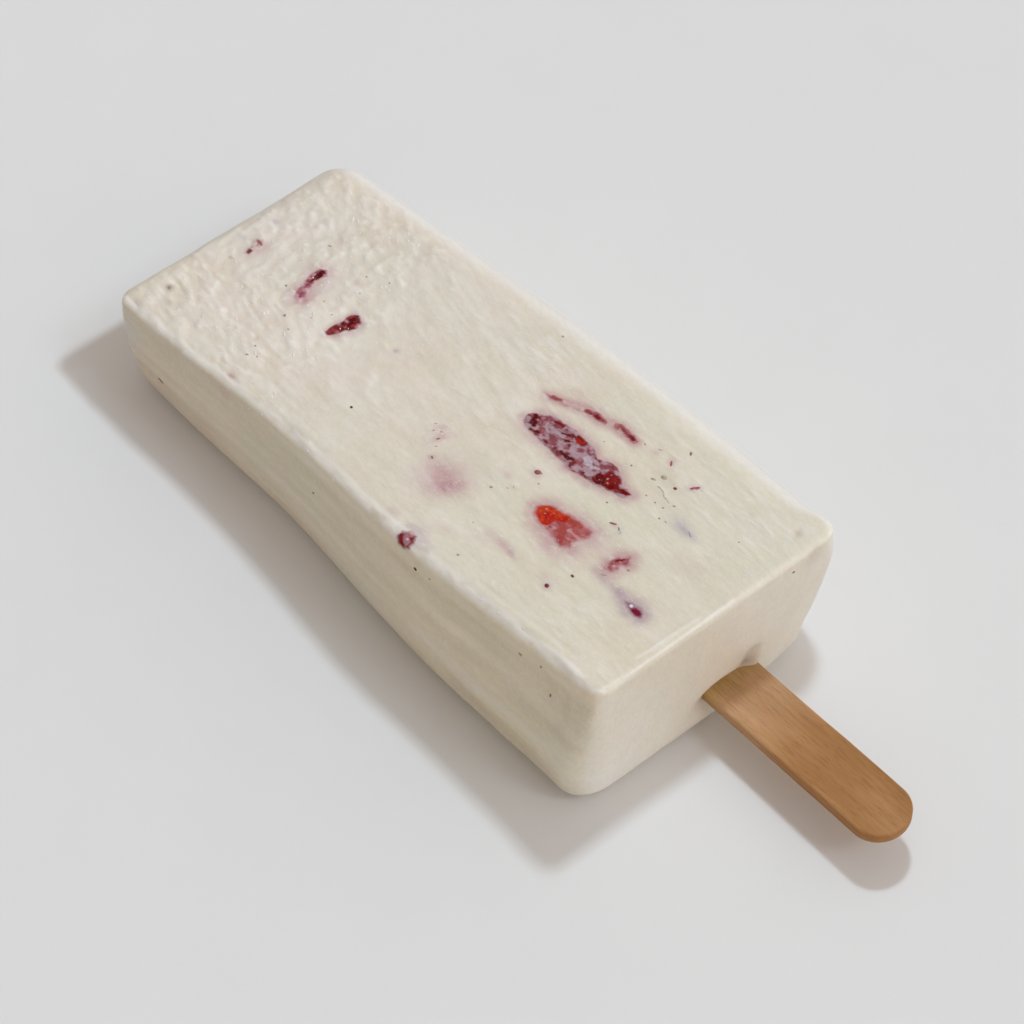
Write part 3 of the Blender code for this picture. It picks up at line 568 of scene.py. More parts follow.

# Frost on the top face, whose pale strokes also paint highlights: how many strokes, between which places, half lengths,
# half widths and turn in degrees.
FLECKS = (
    (95, (-52, -26), (3, 19), (0.30, 0.85), (0.22, 0.40), -22),
    (130, (-52, -20), (-20, 4), (0.45, 1.50), (0.20, 0.36), -14),
    (22, (-24, 22), (-19, 8), (0.60, 1.80), (0.20, 0.32), -9),
    (14, (-12, 26), (11, 19), (0.90, 3.40), (0.20, 0.28), -6),
    (34, (28, 51), (9, 18.5), (1.20, 4.20), (0.18, 0.26), -7),
    (16, (-6, 8), (10, 18), (0.30, 0.70), (0.22, 0.32), 10),
    (14, (22, 52), (-20, 6), (0.50, 1.80), (0.20, 0.30), -8),
    (16, (-30, 10), (8, 18), (0.60, 1.80), (0.22, 0.34), -12),
)

# Crystals on the top face, partly frost and partly painted glints: how many, between which places, half widths, lengths
# to widths, turn and its spread.
CRYSTALS = (
    (95, (-51, -20), (-19, 18), (0.10, 0.19), (1.0, 3.0), -22, 14),
    (40, (-22, 51), (-19, 17), (0.06, 0.11), (1.0, 2.0), 0, 60),
    (50, (-5, 7), (11, 18.5), (0.08, 0.15), (1.0, 1.8), 0, 60),
    (16, (-3, 3), (-9, -3), (0.08, 0.14), (1.0, 1.8), 0, 60),
    (9, (38, 51), (-19, -13), (0.08, 0.14), (1.0, 1.8), 0, 60),
    (13, (8, 27), (14.5, 18.5), (0.06, 0.09), (9.0, 24.0), 2, 3),
    (11, (34, 51), (9, 16), (0.06, 0.10), (9.0, 26.0), -6, 4),
    (8, (34, 52), (-3, 9), (0.07, 0.10), (5.0, 14.0), -12, 5),
)

# Single bright marks in the frost, partly painted highlights: place, half length, half width and turn in degrees.
MARKS = (
    (-51.2, -6.9, 0.7, 0.4, 0), (-45.1, -10.3, 1.2, 0.25, -25), (-38.6, -12.1, 1.0, 0.25, -25),
    (-35.1, -8.2, 0.6, 0.3, -20), (-50.3, -14.8, 0.8, 0.4, 0), (-37.8, 14.6, 0.7, 0.5, 0),
    (-38.0, 10.9, 0.6, 0.5, 0), (-33.2, 16.3, 0.6, 0.5, 0), (-30.7, 16.6, 0.5, 0.4, 0), (-27.0, 18.0, 0.6, 0.4, 0),
    (-26.7, 10.9, 0.6, 0.35, 0), (-42.0, 5.0, 0.5, 0.3, 30), (-17.9, -19.8, 0.5, 0.5, 0),
    (-16.7, -11.1, 1.0, 0.2, -18), (-3.9, -4.0, 0.8, 0.15, -8), (-29.6, -0.3, 0.6, 0.35, 0),
    (-35.5, -4.9, 0.7, 0.45, 60), (25.6, 9.4, 0.30, 0.20, 0), (32.8, -2.1, 0.7, 0.18, 30), (15.8, 14.0, 0.7, 0.6, 0),
    (40.9, -7.7, 0.35, 0.25, 0), (36.8, -7.0, 0.35, 0.25, 0), (17.2, -5.1, 0.6, 0.4, 0), (23.0, -12.9, 0.4, 0.2, 20),
    (42.5, -15.2, 0.5, 0.3, 0), (45.8, -14.9, 0.5, 0.25, 0), (28.5, -19.4, 0.45, 0.30, 60), (33.0, 16.5, 3.2, 0.10, -1),
    (40.0, 12.5, 4.2, 0.12, -2), (46.0, 11.3, 2.0, 0.10, -3), (16.0, 17.0, 2.6, 0.09, 3), (20.5, 16.2, 1.8, 0.10, 2),
    (46.0, 5.2, 1.6, 0.14, -12), (49.2, 4.0, 1.0, 0.16, -14), (8.0, 16.8, 1.6, 0.10, 2), (3.0, 17.2, 1.2, 0.10, 4),
)


# ---------------------------------------------------------------- the bar's relief and colours

def flow(points):
    """Places along and across the strokes in the surface, which turn a little towards the tip."""
    x, y, z = (points / MM).T
    turned = np.clip((20 - x) / 75, 0, 1)
    thickness = blend(TIP_THICKNESS, STICK_END_THICKNESS, x * MM / BAR_LENGTH + 0.5)
    slant = 0.03 + 0.13 * smooth((y + 10) / 20)
    return np.stack((x, y - 7.5 * turned ** 2 + slant * (x - 25), 24 * z * MM / thickness), axis=1)


def face_shares(normals):
    """How far each point belongs to the top, the right side, the stick end and the underside."""
    top = smooth((normals[:, 2] - 0.72) / 0.22)
    right = smooth((-normals[:, 1] - 0.45) / 0.4)
    stick_end = smooth((normals[:, 0] - 0.6) / 0.3)
    under = smooth((-normals[:, 2] - 0.55) / 0.3)
    return top, right, stick_end, under


def hidden_shares(normals):
    """How far each point belongs to the left side and to the tip's end."""
    return smooth((normals[:, 1] - 0.45) / 0.4), smooth((-normals[:, 0] - 0.6) / 0.3)


def crest_share(normals):
    """The rounded right edge of the top face, where frost gathers."""
    return bump(normals[:, 2] - 0.76, 0.24) * smooth((-normals[:, 1] - 0.18) / 0.3)


def scattered_strokes():
    """Raised strokes of frost, whose pale colour partly paints highlights: each one's place, half length, half width
    and turn, in millimetres and degrees.
    """
    chance = random.Random(11)
    strokes = list(MARKS)
    for count, across_x, across_y, lengths, widths, turn in FLECKS:
        for _ in range(count):
            strokes.append((chance.uniform(*across_x), chance.uniform(*across_y), chance.uniform(*lengths),
                            chance.uniform(*widths), turn + chance.gauss(0, 6)))
    return strokes


def raised_strokes(places, top):
    """How far each place on the top face lies on one of the raised strokes."""
    raised = np.zeros(len(places))
    for x, y, half_length, half_width, turn in scattered_strokes():
        reach = 1.6 * max(half_length, half_width)
        near = np.nonzero((np.abs(places[:, 0] - x) < reach) & (np.abs(places[:, 1] - y) < reach))[0]
        raised[near] = np.maximum(raised[near], soft_spot(places[near], (x, y), half_length, half_width, turn))
    return raised * top


def bar_relief(points, normals):
    """How far each point of the bar stands out of its smooth form, in metres, and how frosted it is; the frost share
    also paints highlights.
    """
    places = points / MM
    x, y, z = places.T
    strokes_at = flow(points)
    top, right, stick_end, under = face_shares(normals)
    crest = crest_share(normals)
    tip_share = smooth((-8 - x) / 26)
    patch = smooth(0.5 + 1.1 * layered_noise(places, (13, 9, 9), 43, 2))
    strokes = layered_noise(strokes_at, (3.4, 1.10, 4), 3, 2)
    lumps = layered_noise(strokes_at, (1.6, 1.05, 1.5), 23, 2)
    long_lines = ridges(strokes_at, (17, 2.4, 5), 131, 0.16) * patch
    short_lines = ridges(strokes_at, (6, 1.5, 4), 137, 0.22) * smooth(lumps * 2)

    raised = raised_strokes(places, top)
    depth = top * (0.068 + 0.065 * tip_share) * strokes
    depth += top * tip_share * (0.15 * np.clip(lumps, -0.45, 1) + 0.05 * short_lines)
    depth += top * (0.08 * long_lines + (0.11 + 0.06 * tip_share) * raised)
    depth += 0.10 * layered_noise(places, (18, 9, 9), 31, 2)

    left, tip_end = hidden_shares(normals)
    depth += (right + left) * 0.16 * layered_noise(strokes_at, (34, 8, 2.2), 57, 2)
    depth += (right + left) * 0.10 * ridges(strokes_at, (24, 8, 3.0), 61, 0.25)
    depth += left * 0.10 * layered_noise(places, (7, 7, 3.2), 63, 2) + tip_end * 0.16 * layered_noise(places, (9, 12, 3), 65, 2)
    for start, end in (((31.5, 12.2), (51.6, 12.3)), ((35.9, 9.7), (51.0, 6.7)), ((-20, 6.0), (30, 7.5))):
        depth += right * 0.13 * bump(line_distance(places[:, [0, 2]], start, end), 0.9)
    depth -= right * 0.12 * bump(line_distance(places[:, [0, 2]], (16, 7.0), (46, 4.6)), 0.7)
    panel = ((22, 24.0), (36, 25.5), (47.5, 26.5), (49.6, 24.0), (49.2, 17.0), (47.0, 12.5), (40, 12.2), (26, 14.0))
    depth -= right * 0.38 * smooth(inside_distance(x, z, panel) / 2.2)

    clumps = layered_noise(places, (3.4, 1.6, 1.6), 71, 2)
    fine_clumps = layered_noise(places, (1.1, 0.9, 0.9), 79, 2)
    frosted = smooth(0.55 + 0.9 * layered_noise(places, (14, 9, 9), 73, 1) + 0.35 * smooth((x - 8) / 8))
    depth += crest * (0.12 + 0.34 * noise(places, (7, 30, 30), 75) + (0.50 * clumps + 0.20 * fine_clumps) * frosted)
    depth -= top * 0.16 * bump(line_distance(places[:, :2], (27, -20.6), (46, -19.9)), 0.45)
    depth += top * 0.07 * bump(line_distance(places[:, :2], (-49, 18.1), (16, 19.0)), 0.6)

    # The stick end's top edge and the thin lines along it are raised and whitened: partly frost, partly a painted
    # highlight.
    rim = bump(normals[:, 0] - 0.62, 0.18) * smooth(normals[:, 2] / 0.3) * (x > 40)
    depth += rim * (0.10 + 0.05 * clumps)
    inner_rim = bump(line_distance(places[:, :2], (52.0, -14.5), (52.9, -3.5)), 0.24)
    outer_rim = bump(line_distance(places[:, :2], (53.4, -17.5), (53.9, 2.0)), 0.26)
    depth += top * (0.13 * inner_rim + 0.16 * outer_rim)
    depth -= 0.20 * bump(line_distance(places[:, :2], (51.2, 17.4), (51.8, 16.2)), 0.45) * top
    depth -= 0.5 * bump(np.linalg.norm(places - np.array((54.6, 17.0, 28.0)), axis=1), 1.1)
    depth -= stick_end * 0.8 * bump(line_distance(places[:, 1:], (5.8, 9.0), (6.8, 12.4)), 1.5)
    depth += stick_end * 0.10 * layered_noise(places, (9, 12, 3.5), 83, 2)

    # The frost share: real frost on the crest, and painted highlights on the strokes, the raised marks and the stick
    # end's rim.
    frost = top * 0.60 * np.clip(strokes * patch, 0, 1)
    frost += top * tip_share * (0.45 * np.clip(lumps, 0, 1) + 0.2 * short_lines)
    frost += crest * smooth(0.95 + 0.6 * clumps + 0.4 * fine_clumps) * 1.25
    frost += rim * 0.30 + top * 0.8 * np.maximum(inner_rim, outer_rim)
    frost += top * (0.30 * long_lines + (0.50 + 0.20 * tip_share) * raised)
    return depth * MM * (1 - under), np.clip(frost, 0, 1)


def soft_spot(places, centre, half_length, half_width, turn):
    """How near each place is to the middle of an oval: 1 in its middle, about a quarter at its border."""
    angle = math.radians(turn)
    dx = places[:, 0] - centre[0]
    dy = places[:, 1] - centre[1]
    a = (dx * math.cos(angle) + dy * math.sin(angle)) / half_length
    b = (dy * math.cos(angle) - dx * math.sin(angle)) / half_width
    return np.exp(-1.4 * (a * a + b * b))


def add_juice(colours, points, facing_up):
    """Tints the cream of the top face with what has run out of the fruit."""
    places = points / MM
    x, y = places[:, 0], places[:, 1]
    grain = layered_noise(places, 1.5, 91, 3)
    for sx, sy, half_length, half_width, turn, colour, strength, patchiness in STAINS:
        near = np.nonzero(np.hypot(x - sx, y - sy) < 2.2 * max(half_length, half_width))[0]
        amount = strength * soft_spot(places[near], (sx, sy), half_length, half_width, turn)
        amount *= np.clip(1 + 1.3 * patchiness * grain[near], 0, 1.5) * facing_up[near]
        colours[near] = tinted(colours[near], colour, np.clip(amount, 0, 1))
    for fruit in FRUIT:
        cx, cy, cz = fruit_middle(fruit)
        colour, width, strength = fruit.halo
        reach = max(abs(value) for place in fruit.outline for value in place) + 3 * width
        near = np.nonzero(np.hypot(x - cx, y - cy) < reach)[0]
        shift = grain[near] * 0.25
        beyond = np.maximum(-inside_distance(x[near] - cx + shift, y[near] - cy + shift, fruit.outline), 0)
        amount = strength * bump(beyond, width) * np.clip(1 + 0.5 * grain[near], 0, 1.4) * facing_up[near]
        colours[near] = tinted(colours[near], colour, np.clip(amount, 0, 1))
    return colours


def cream_colours(points, normals):
    """The colour of the cream at each point, with its slow changes, bands and stains, and painted light and shade on
    some faces.
    """
    places = points / MM
    strokes_at = flow(points)
    top, right, stick_end, under = face_shares(normals)
    warm = smooth((places[:, 0] + 30) / 75)[:, None]
    colours = np.array(TIP_CREAM) * (1 - warm) + np.array(STICK_END_CREAM) * warm
    mottle = layered_noise(places, 7.0, 201, 3)[:, None]
    streaks = layered_noise(strokes_at, (8, 1.5, 2.5), 211, 3)[:, None]
    left, tip_end = hidden_shares(normals)
    bands = ((right + left) * layered_noise(strokes_at, (50, 8, 2.2), 221, 2))[:, None]
    bands += 0.7 * (tip_end * layered_noise(places, (30, 30, 2.6), 227, 2))[:, None]
    warmth = layered_noise(places, 10.0, 241, 3)[:, None]
    colours = colours * (1 + mottle * np.array((0.026, 0.032, 0.060)) + warmth * np.array((0.026, -0.012, -0.010)))
    colours *= 1 + streaks * np.array((0.062, 0.068, 0.092))
    colours *= 1 + bands * np.array((0.11, 0.12, 0.16))
    # The band that faces +Y is made paler: partly its whiter cream, partly painted light for the brighter light on that
    # band.
    pale_lit_left_band = smooth((normals[:, 1] - 0.15) / 0.4) * (1 - under)
    colours = tinted(colours, (0.89, 0.87, 0.835), pale_lit_left_band * (0.85 - 0.60 * left * smooth((normals[:, 1] - 0.8) / 0.15)))
    # Painted shade on the right side, which faces away from the lamp: warmer, up to 7% darker towards the tip, a little
    # lighter at the stick end.
    colours *= 1 - right[:, None] * np.array((0.03, 0.06, 0.15))
    colours *= 1 + (right * smooth(places[:, 0] / 90 + 0.5) * 0.10 - right * 0.07)[:, None]
    # Darker and warmer towards the bottom of the right side: partly the cream's own tone, partly painted shade where
    # the side meets the floor.
    low_tone_and_shade = right * smooth((6.5 - places[:, 2]) / 5)
    colours = tinted(colours, (0.70, 0.60, 0.44), 0.38 * low_tone_and_shade)
    for start, end, width, colour, strength in SIDE_BANDS:
        amount = right * strength * bump(line_distance(places[:, [0, 2]], start, end), width)
        colours = tinted(colours, colour, amount)
    colours = tinted(colours, (0.86, 0.81, 0.72), 0.40 * stick_end)
    pink_tip = soft_spot(places, (-46, 4), 9, 10, 0) * smooth(normals[:, 2] * 2)
    colours = tinted(colours, (0.815, 0.725, 0.675), 0.55 * pink_tip)
    grain = layered_noise(places, 2.5, 231, 2)
    for place, radius, colour, strength in BLOTS:
        amount = strength * bump(np.linalg.norm(places - np.array(place), axis=1), radius)
        colours = tinted(colours, colour, np.clip(amount * (1 + 0.5 * grain), 0, 1))
    return add_juice(colours, points, smooth((normals[:, 2] - 0.25) / 0.3))


# ---------------------------------------------------------------- materials

def node_material(name):
    look = bpy.data.materials.new(name)
    look.use_nodes = True
    return look, look.node_tree.nodes, look.node_tree.links, look.node_tree.nodes["Principled BSDF"]


def attribute(nodes, name):
    node = nodes.new("ShaderNodeAttribute")
    node.attribute_name = name
    return node


def noise_node(nodes, links, coordinates, scale, detail=4.0, roughness=0.55):
    node = nodes.new("ShaderNodeTexNoise")
    node.inputs["Scale"].default_value = scale
    node.inputs["Detail"].default_value = detail
    node.inputs["Roughness"].default_value = roughness
    links.new(coordinates, node.inputs["Vector"])
    return node.outputs["Fac"]


def ramp(nodes, links, source, stops):
    node = nodes.new("ShaderNodeValToRGB")
    while len(node.color_ramp.elements) < len(stops):
        node.color_ramp.elements.new(0.5)
    for element, (place, colour) in zip(node.color_ramp.elements, stops):
        element.position = place
        element.color = (*colour, 1.0)
    links.new(source, node.inputs["Fac"])
    return node.outputs["Color"]


def grey(value):
    return (value, value, value)


def join(links, value, socket):
    """Puts a number, a colour or another node's output on a socket."""
    if isinstance(value, (int, float)):
        socket.default_value = value
    elif isinstance(value, tuple):
        socket.default_value = (*value, 1.0)
    else:
        links.new(value, socket)


def mix(nodes, links, kind, factor, first, second):
    node = nodes.new("ShaderNodeMix")
    node.data_type = "RGBA"
    node.blend_type = kind
    join(links, factor, node.inputs[0])
    join(links, first, node.inputs[6])
    join(links, second, node.inputs[7])
    return node.outputs[2]


def maths(nodes, links, operation, first, second):
    node = nodes.new("ShaderNodeMath")
    node.operation = operation
    join(links, first, node.inputs[0])
    join(links, second, node.inputs[1])
    return node.outputs[0]


def stretched(nodes, links, coordinates, scale):
    mapping = nodes.new("ShaderNodeMapping")
    mapping.inputs["Scale"].default_value = scale
    links.new(coordinates, mapping.inputs["Vector"])
    return mapping.outputs["Vector"]


def object_place(nodes):
    return nodes.new("ShaderNodeTexCoord").outputs["Object"]


def bumped(nodes, links, shader, height, strength, distance):
    relief = nodes.new("ShaderNodeBump")
    relief.inputs["Strength"].default_value = strength
    relief.inputs["Distance"].default_value = distance
    links.new(height, relief.inputs["Height"])
    links.new(relief.outputs["Normal"], shader.inputs["Normal"])


def frozen_surface(name, roughness, gloss, softness, strokes):
    """Frozen cream, or fruit with cream over it: painted colour, thin pale strokes, frost and a fine grain; the pale
    strokes, specks and frost also paint highlights.
    """
    look, nodes, links, shader = node_material(name)
    place = attribute(nodes, "flow").outputs["Vector"]
    colour = attribute(nodes, "tint").outputs["Color"]
    frost = attribute(nodes, "frost").outputs["Fac"]
    long = stretched(nodes, links, place, (0.10, 1.0, 0.8))
    fine = noise_node(nodes, links, stretched(nodes, links, place, (0.50, 1.0, 0.8)), 1.7, 4, 0.60)
    shade = ramp(nodes, links, fine, ((0.36, (0.970, 0.966, 0.952)), (0.62, (1.02, 1.02, 1.024))))
    specks = noise_node(nodes, links, stretched(nodes, links, place, (0.70, 1.0, 0.8)), 3.4, 2, 0.5)
    specks = ramp(nodes, links, specks, ((0.60, grey(0)), (0.70, grey(1))))
    colour = mix(nodes, links, "MULTIPLY", 1.0, colour, shade)
    lines = ramp(nodes, links, noise_node(nodes, links, long, 0.9, 2, 0.5), (
        (0.460, grey(0)), (0.500, grey(1)), (0.540, grey(0))))
    broken = ramp(nodes, links, noise_node(nodes, links, place, 0.55, 3, 0.6), ((0.50, grey(0)), (0.62, grey(1))))
    lines = maths(nodes, links, "MULTIPLY", lines, broken)
    # Whitening towards the frost colour: frost, and painted highlights on the pale strokes and specks.
    pale = maths(nodes, links, "ADD", maths(nodes, links, "MULTIPLY", lines, 0.12 * strokes),
                 maths(nodes, links, "MULTIPLY", frost, 0.80))
    pale = maths(nodes, links, "ADD", pale, maths(nodes, links, "MULTIPLY", specks, 0.32 * strokes))
    colour = mix(nodes, links, "MIX", pale, colour, FROST_AND_GLINT)
    links.new(colour, shader.inputs["Base Color"])
    shader.inputs["Roughness"].default_value = roughness
    shader.inputs["Specular IOR Level"].default_value = gloss
    shader.inputs["IOR"].default_value = 1.36
    shader.inputs["Subsurface Weight"].default_value = softness
    shader.inputs["Subsurface Radius"].default_value = (1.0, 0.72, 0.45)
    shader.inputs["Subsurface Scale"].default_value = 1.3 * MM
    height = maths(nodes, links, "ADD", maths(nodes, links, "MULTIPLY", fine, 0.9),
                   maths(nodes, links, "MULTIPLY", specks, 0.25))
    bumped(nodes, links, shader, height, 0.36 * strokes, 0.16 * MM)
    return look


def seed_material():
    look, nodes, links, shader = node_material("seed_skin")
    speckle = noise_node(nodes, links, object_place(nodes), 6000, 3)
    shade = ramp(nodes, links, speckle, ((0.35, grey(0.75)), (0.65, grey(1.2))))
    colour = mix(nodes, links, "MULTIPLY", 1.0, attribute(nodes, "tint").outputs["Color"], shade)
    links.new(colour, shader.inputs["Base Color"])
    shader.inputs["Roughness"].default_value = 0.4
    bumped(nodes, links, shader, speckle, 0.3, 0.03 * MM)
    return look


# Pale crystals, partly frost and partly painted glints.
def frost_and_glint_material():
    look, nodes, links, shader = node_material("frost")
    speckle = noise_node(nodes, links, object_place(nodes), 2500, 4)
    colour = ramp(nodes, links, speckle, ((0.35, (0.87, 0.82, 0.74)), (0.65, (0.93, 0.88, 0.81))))
    links.new(colour, shader.inputs["Base Color"])
    shader.inputs["Roughness"].default_value = 0.35
    bumped(nodes, links, shader, speckle, 0.3, 0.03 * MM)
    return look


def wood_material():
    look, nodes, links, shader = node_material("stick_wood")
    place = object_place(nodes)
    slow = stretched(nodes, links, place, (0.25, 1, 1))
    grain = stretched(nodes, links, place, (0.05, 1, 1))
    flecks = stretched(nodes, links, place, (0.11, 1, 1))
    tone = noise_node(nodes, links, slow, 210, 3, 0.5)
    base = ramp(nodes, links, tone, (
        (0.35, (0.345, 0.158, 0.050)), (0.5, (0.395, 0.188, 0.062)), (0.65, (0.445, 0.225, 0.085))))
    pink = ramp(nodes, links, tone, (
        (0.35, (0.455, 0.260, 0.130)), (0.5, (0.500, 0.292, 0.152)), (0.65, (0.545, 0.325, 0.175))))
    # Olive damp wood where the stick leaves the cream, painted lighter than damp wood: painted light that offsets the
    # bar's shadow on the stick.
    damp_colour_painted_lighter = ramp(nodes, links, tone, (
        (0.35, (0.420, 0.262, 0.090)), (0.5, (0.470, 0.300, 0.112)), (0.65, (0.520, 0.338, 0.138))))
    base = mix(nodes, links, "MIX", attribute(nodes, "fresh").outputs["Fac"], base, pink)
    base = mix(nodes, links, "MIX", attribute(nodes, "damp_and_painted_light").outputs["Fac"], base, damp_colour_painted_lighter)
    # Painted highlight: a thin pale line along the stick's long edge that faces +Y.
    painted_edge_highlight = maths(nodes, links, "MULTIPLY", attribute(nodes, "edge").outputs["Fac"], 0.65)
    base = mix(nodes, links, "MIX", painted_edge_highlight, base, (0.80, 0.60, 0.42))
    # Painted shade: the stick's narrow sides are made a little darker.
    base = mix(nodes, links, "MULTIPLY", attribute(nodes, "side").outputs["Fac"], base, (0.97, 0.94, 0.90))
    lines = ramp(nodes, links, noise_node(nodes, links, grain, 1700, 5, 0.65), (
        (0.33, (0.90, 0.885, 0.86)), (0.52, (1.0, 1.0, 1.0)), (0.70, (1.08, 1.08, 1.07))))
    colour = mix(nodes, links, "MULTIPLY", 1.0, base, lines)
    fleck = ramp(nodes, links, noise_node(nodes, links, flecks, 4200, 3, 0.5), (
        (0.34, (0.76, 0.71, 0.64)), (0.46, (1, 1, 1))))
    colour = mix(nodes, links, "MULTIPLY", 0.75, colour, fleck)
    links.new(colour, shader.inputs["Base Color"])
    shader.inputs["Roughness"].default_value = 0.65
    shader.inputs["Specular IOR Level"].default_value = 0.3
    bumped(nodes, links, shader, noise_node(nodes, links, grain, 2600, 4, 0.6), 0.45, 0.07 * MM)
    return look


# ---------------------------------------------------------------- fruit set into the bar

def fruit_middle(fruit):
    low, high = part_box(fruit.node)
    return tuple((a + b) / 2 / MM for a, b in zip(low, high))


def fruit_directions(fruit):
    """The directions along and across a piece of fruit, and the way that it faces."""
    slope = math.atan2(STICK_END_THICKNESS - TIP_THICKNESS, BAR_LENGTH)
    lean = Matrix.Rotation(-slope, 3, "Y")
    if fruit.node == "strawberry_crest":
        lean = lean @ Matrix.Rotation(math.radians(40), 3, "X")
    return tuple(lean @ Vector(axis) for axis in ((1, 0, 0), (0, 1, 0), (0, 0, 1)))


def fruit_colours(fruit, a, b, places, within, seed):
    """The colour of the fruit itself: flesh, the film of cream over it and its cells, some of them white glints painted
    as highlights.
    """
    flesh = smooth(0.5 + 1.5 * layered_noise(places, 0.9, seed, 3))[:, None]
    colours = np.array(fruit.deep) * (1 - flesh) + np.array(fruit.bright) * flesh
    film = smooth(0.5 + 2.0 * (fruit.cover - 0.5 + 1.0 * layered_noise(places, (1.0, 0.6, 0.8), seed + 5, 4)))
    colours = tinted(colours, fruit.film, film)
    waver = 0.34 * layered_noise(places, 0.60, seed + 9, 3)
    spots = np.stack((a, b), axis=1)
    for ax, ay, bx, by, radius, colour in fruit.cells:
        distance = line_distance(spots, (ax, ay), (bx, by)) + waver * min(1, radius / 0.3)
        colours = tinted(colours, colour, smooth(0.5 + (radius - distance) / 0.34))
    return colours * (1 + 0.22 * layered_noise(places, 0.40, seed + 13, 2))[:, None]


def fruit_piece(fruit, tree, look, seed):
    """A closed piece of fruit whose face follows the bar's surface and sinks into it round its rim."""
    cell = 0.13
    sink = 0.50
    margin = 0.7
    middle = Vector(fruit_middle(fruit)) * MM
    along, across, outward = fruit_directions(fruit)
    corners = np.array(fruit.outline)
    low = corners.min(axis=0) - margin
    high = corners.max(axis=0) + margin
    a_line = np.arange(low[0], high[0], cell)
    b_line = np.arange(low[1], high[1], cell)
    a, b = (part.ravel() for part in np.meshgrid(a_line, b_line, indexing="ij"))
    flat = np.stack((a, b, np.full(len(a), float(seed))), axis=1)
    wobble = 0.30 * layered_noise(flat, 1.4, seed + 40, 3)
    within = inside_distance(a + wobble, b - wobble, fruit.outline)
    count_b = len(b_line)
    index = np.arange(len(a)).reshape(len(a_line), count_b)
    quads = np.stack([part.ravel() for part in (index[:-1, :-1], index[1:, :-1], index[1:, 1:], index[:-1, 1:])], axis=1)
    quads = quads[(within[quads] > -sink).all(axis=1)]
    used = np.unique(quads)
    quads = np.searchsorted(used, quads)
    a, b, within = a[used], b[used], within[used]

    start = np.array(middle) + (a[:, None] * np.array(along) + b[:, None] * np.array(across)) * MM
    surface = []
    facing = []
    for spot in start:
        hit, normal, _, _ = tree.ray_cast(Vector(spot) + outward * 5 * MM, -outward)
        surface.append(tuple(hit))
        facing.append(tuple(normal))
    surface = np.array(surface)
    facing = np.array(facing)
    places = surface / MM
    grain = layered_noise(places, 0.6, seed + 21, 2)
    lift = 0.045 * smooth((within + 0.22) / 0.4) - 0.22 * (1 - smooth((within + sink) / (sink - 0.20)))
    lift += 0.020 * grain * smooth(within / 0.3)
    upper = surface + np.array(outward) * (lift * MM)[:, None]
    depth = 0.35 + 1.3 * np.sqrt(np.clip((within + sink) / 2, 0, 1))
    lower = surface - np.array(outward) * (depth * MM)[:, None]

    edges = {}
    for quad in quads.tolist():
        for k in range(4):
            edges[quad[k], quad[(k + 1) % 4]] = True
    count = len(upper)
    faces = quads.tolist() + [[point + count for point in quad[::-1]] for quad in quads.tolist()]
    for first, second in edges:
        if (second, first) not in edges:
            faces.append([second, first, first + count, second + count])
    piece = new_object("fruit_" + fruit.node.split("_", 1)[1], np.concatenate((upper, lower)), faces)

    cream = cream_colours(upper, facing)
    fruit_share = smooth((within + 0.32 + 0.14 * grain) / fruit.softness)
    flesh = fruit_colours(fruit, a, b, places, within, seed)
    colours = cream * (1 - fruit_share[:, None]) + flesh * fruit_share[:, None]
    frost = bar_relief(upper, facing)[1] * (1 - fruit_share)
    store(piece.data, "tint", np.concatenate((colours, flesh)))
    store(piece.data, "frost", np.concatenate((frost, 0 * frost)))
    store(piece.data, "flow", np.tile(flow(upper), (2, 1)))
    finish_piece(piece, look, fruit.node)


# ---------------------------------------------------------------- small domes: seeds and frost

class Domes:
    """Many small closed domes, each set on the bar where a ray from outside meets it."""

    def __init__(self, tree, sides):
        self.tree = tree
        self.sides = sides
        self.points = []
        self.faces = []
        self.colours = []

    def add(self, spot, outward, half_length, half_width, height, turn, colour):
        hit, normal, _, _ = self.tree.ray_cast(spot + outward * 8 * MM, -outward)
        if hit is None:
            return
        along = Matrix.Rotation(math.radians(turn), 3, normal) @ Vector((1, 0, 0)).cross(normal).cross(-normal)
        along.normalize()
        across = normal.cross(along)
        first = len(self.points)
        levels = ((1.0, -0.35), (0.86, 0.35), (0.50, 0.82))
        for share, level in levels:
            for k in range(self.sides):
                angle = 2 * math.pi * k / self.sides
                place = hit + along * (share * half_length * math.cos(angle))
                place += across * (share * half_width * math.sin(angle))
                under, _, _, _ = self.tree.ray_cast(place + normal * 2 * MM, -normal, 4 * MM)
                self.points.append((under or place) + normal * level * height)
        self.points.append(hit + normal * height)
        for ring in range(len(levels) - 1):
            for k in range(self.sides):
                j = (k + 1) % self.sides
                low = first + ring * self.sides
                high = low + self.sides
                self.faces.append((low + k, low + j, high + j, high + k))
        last = first + (len(levels) - 1) * self.sides
        top = len(self.points) - 1
        self.faces += [(last + k, last + (k + 1) % self.sides, top) for k in range(self.sides)]
        self.faces.append(tuple(range(first, first + self.sides))[::-1])
        self.colours += [colour] * (len(self.points) - first)

    def build(self, name):
        return new_object(name, np.array([tuple(point) for point in self.points]), self.faces)


UP = Vector((0, 0, 1))
RIGHT = Vector((0, -1, 0))


def top_spot(x, y):
    return Vector((x * MM, y * MM, blend(TIP_THICKNESS, STICK_END_THICKNESS, x * MM / BAR_LENGTH + 0.5)))


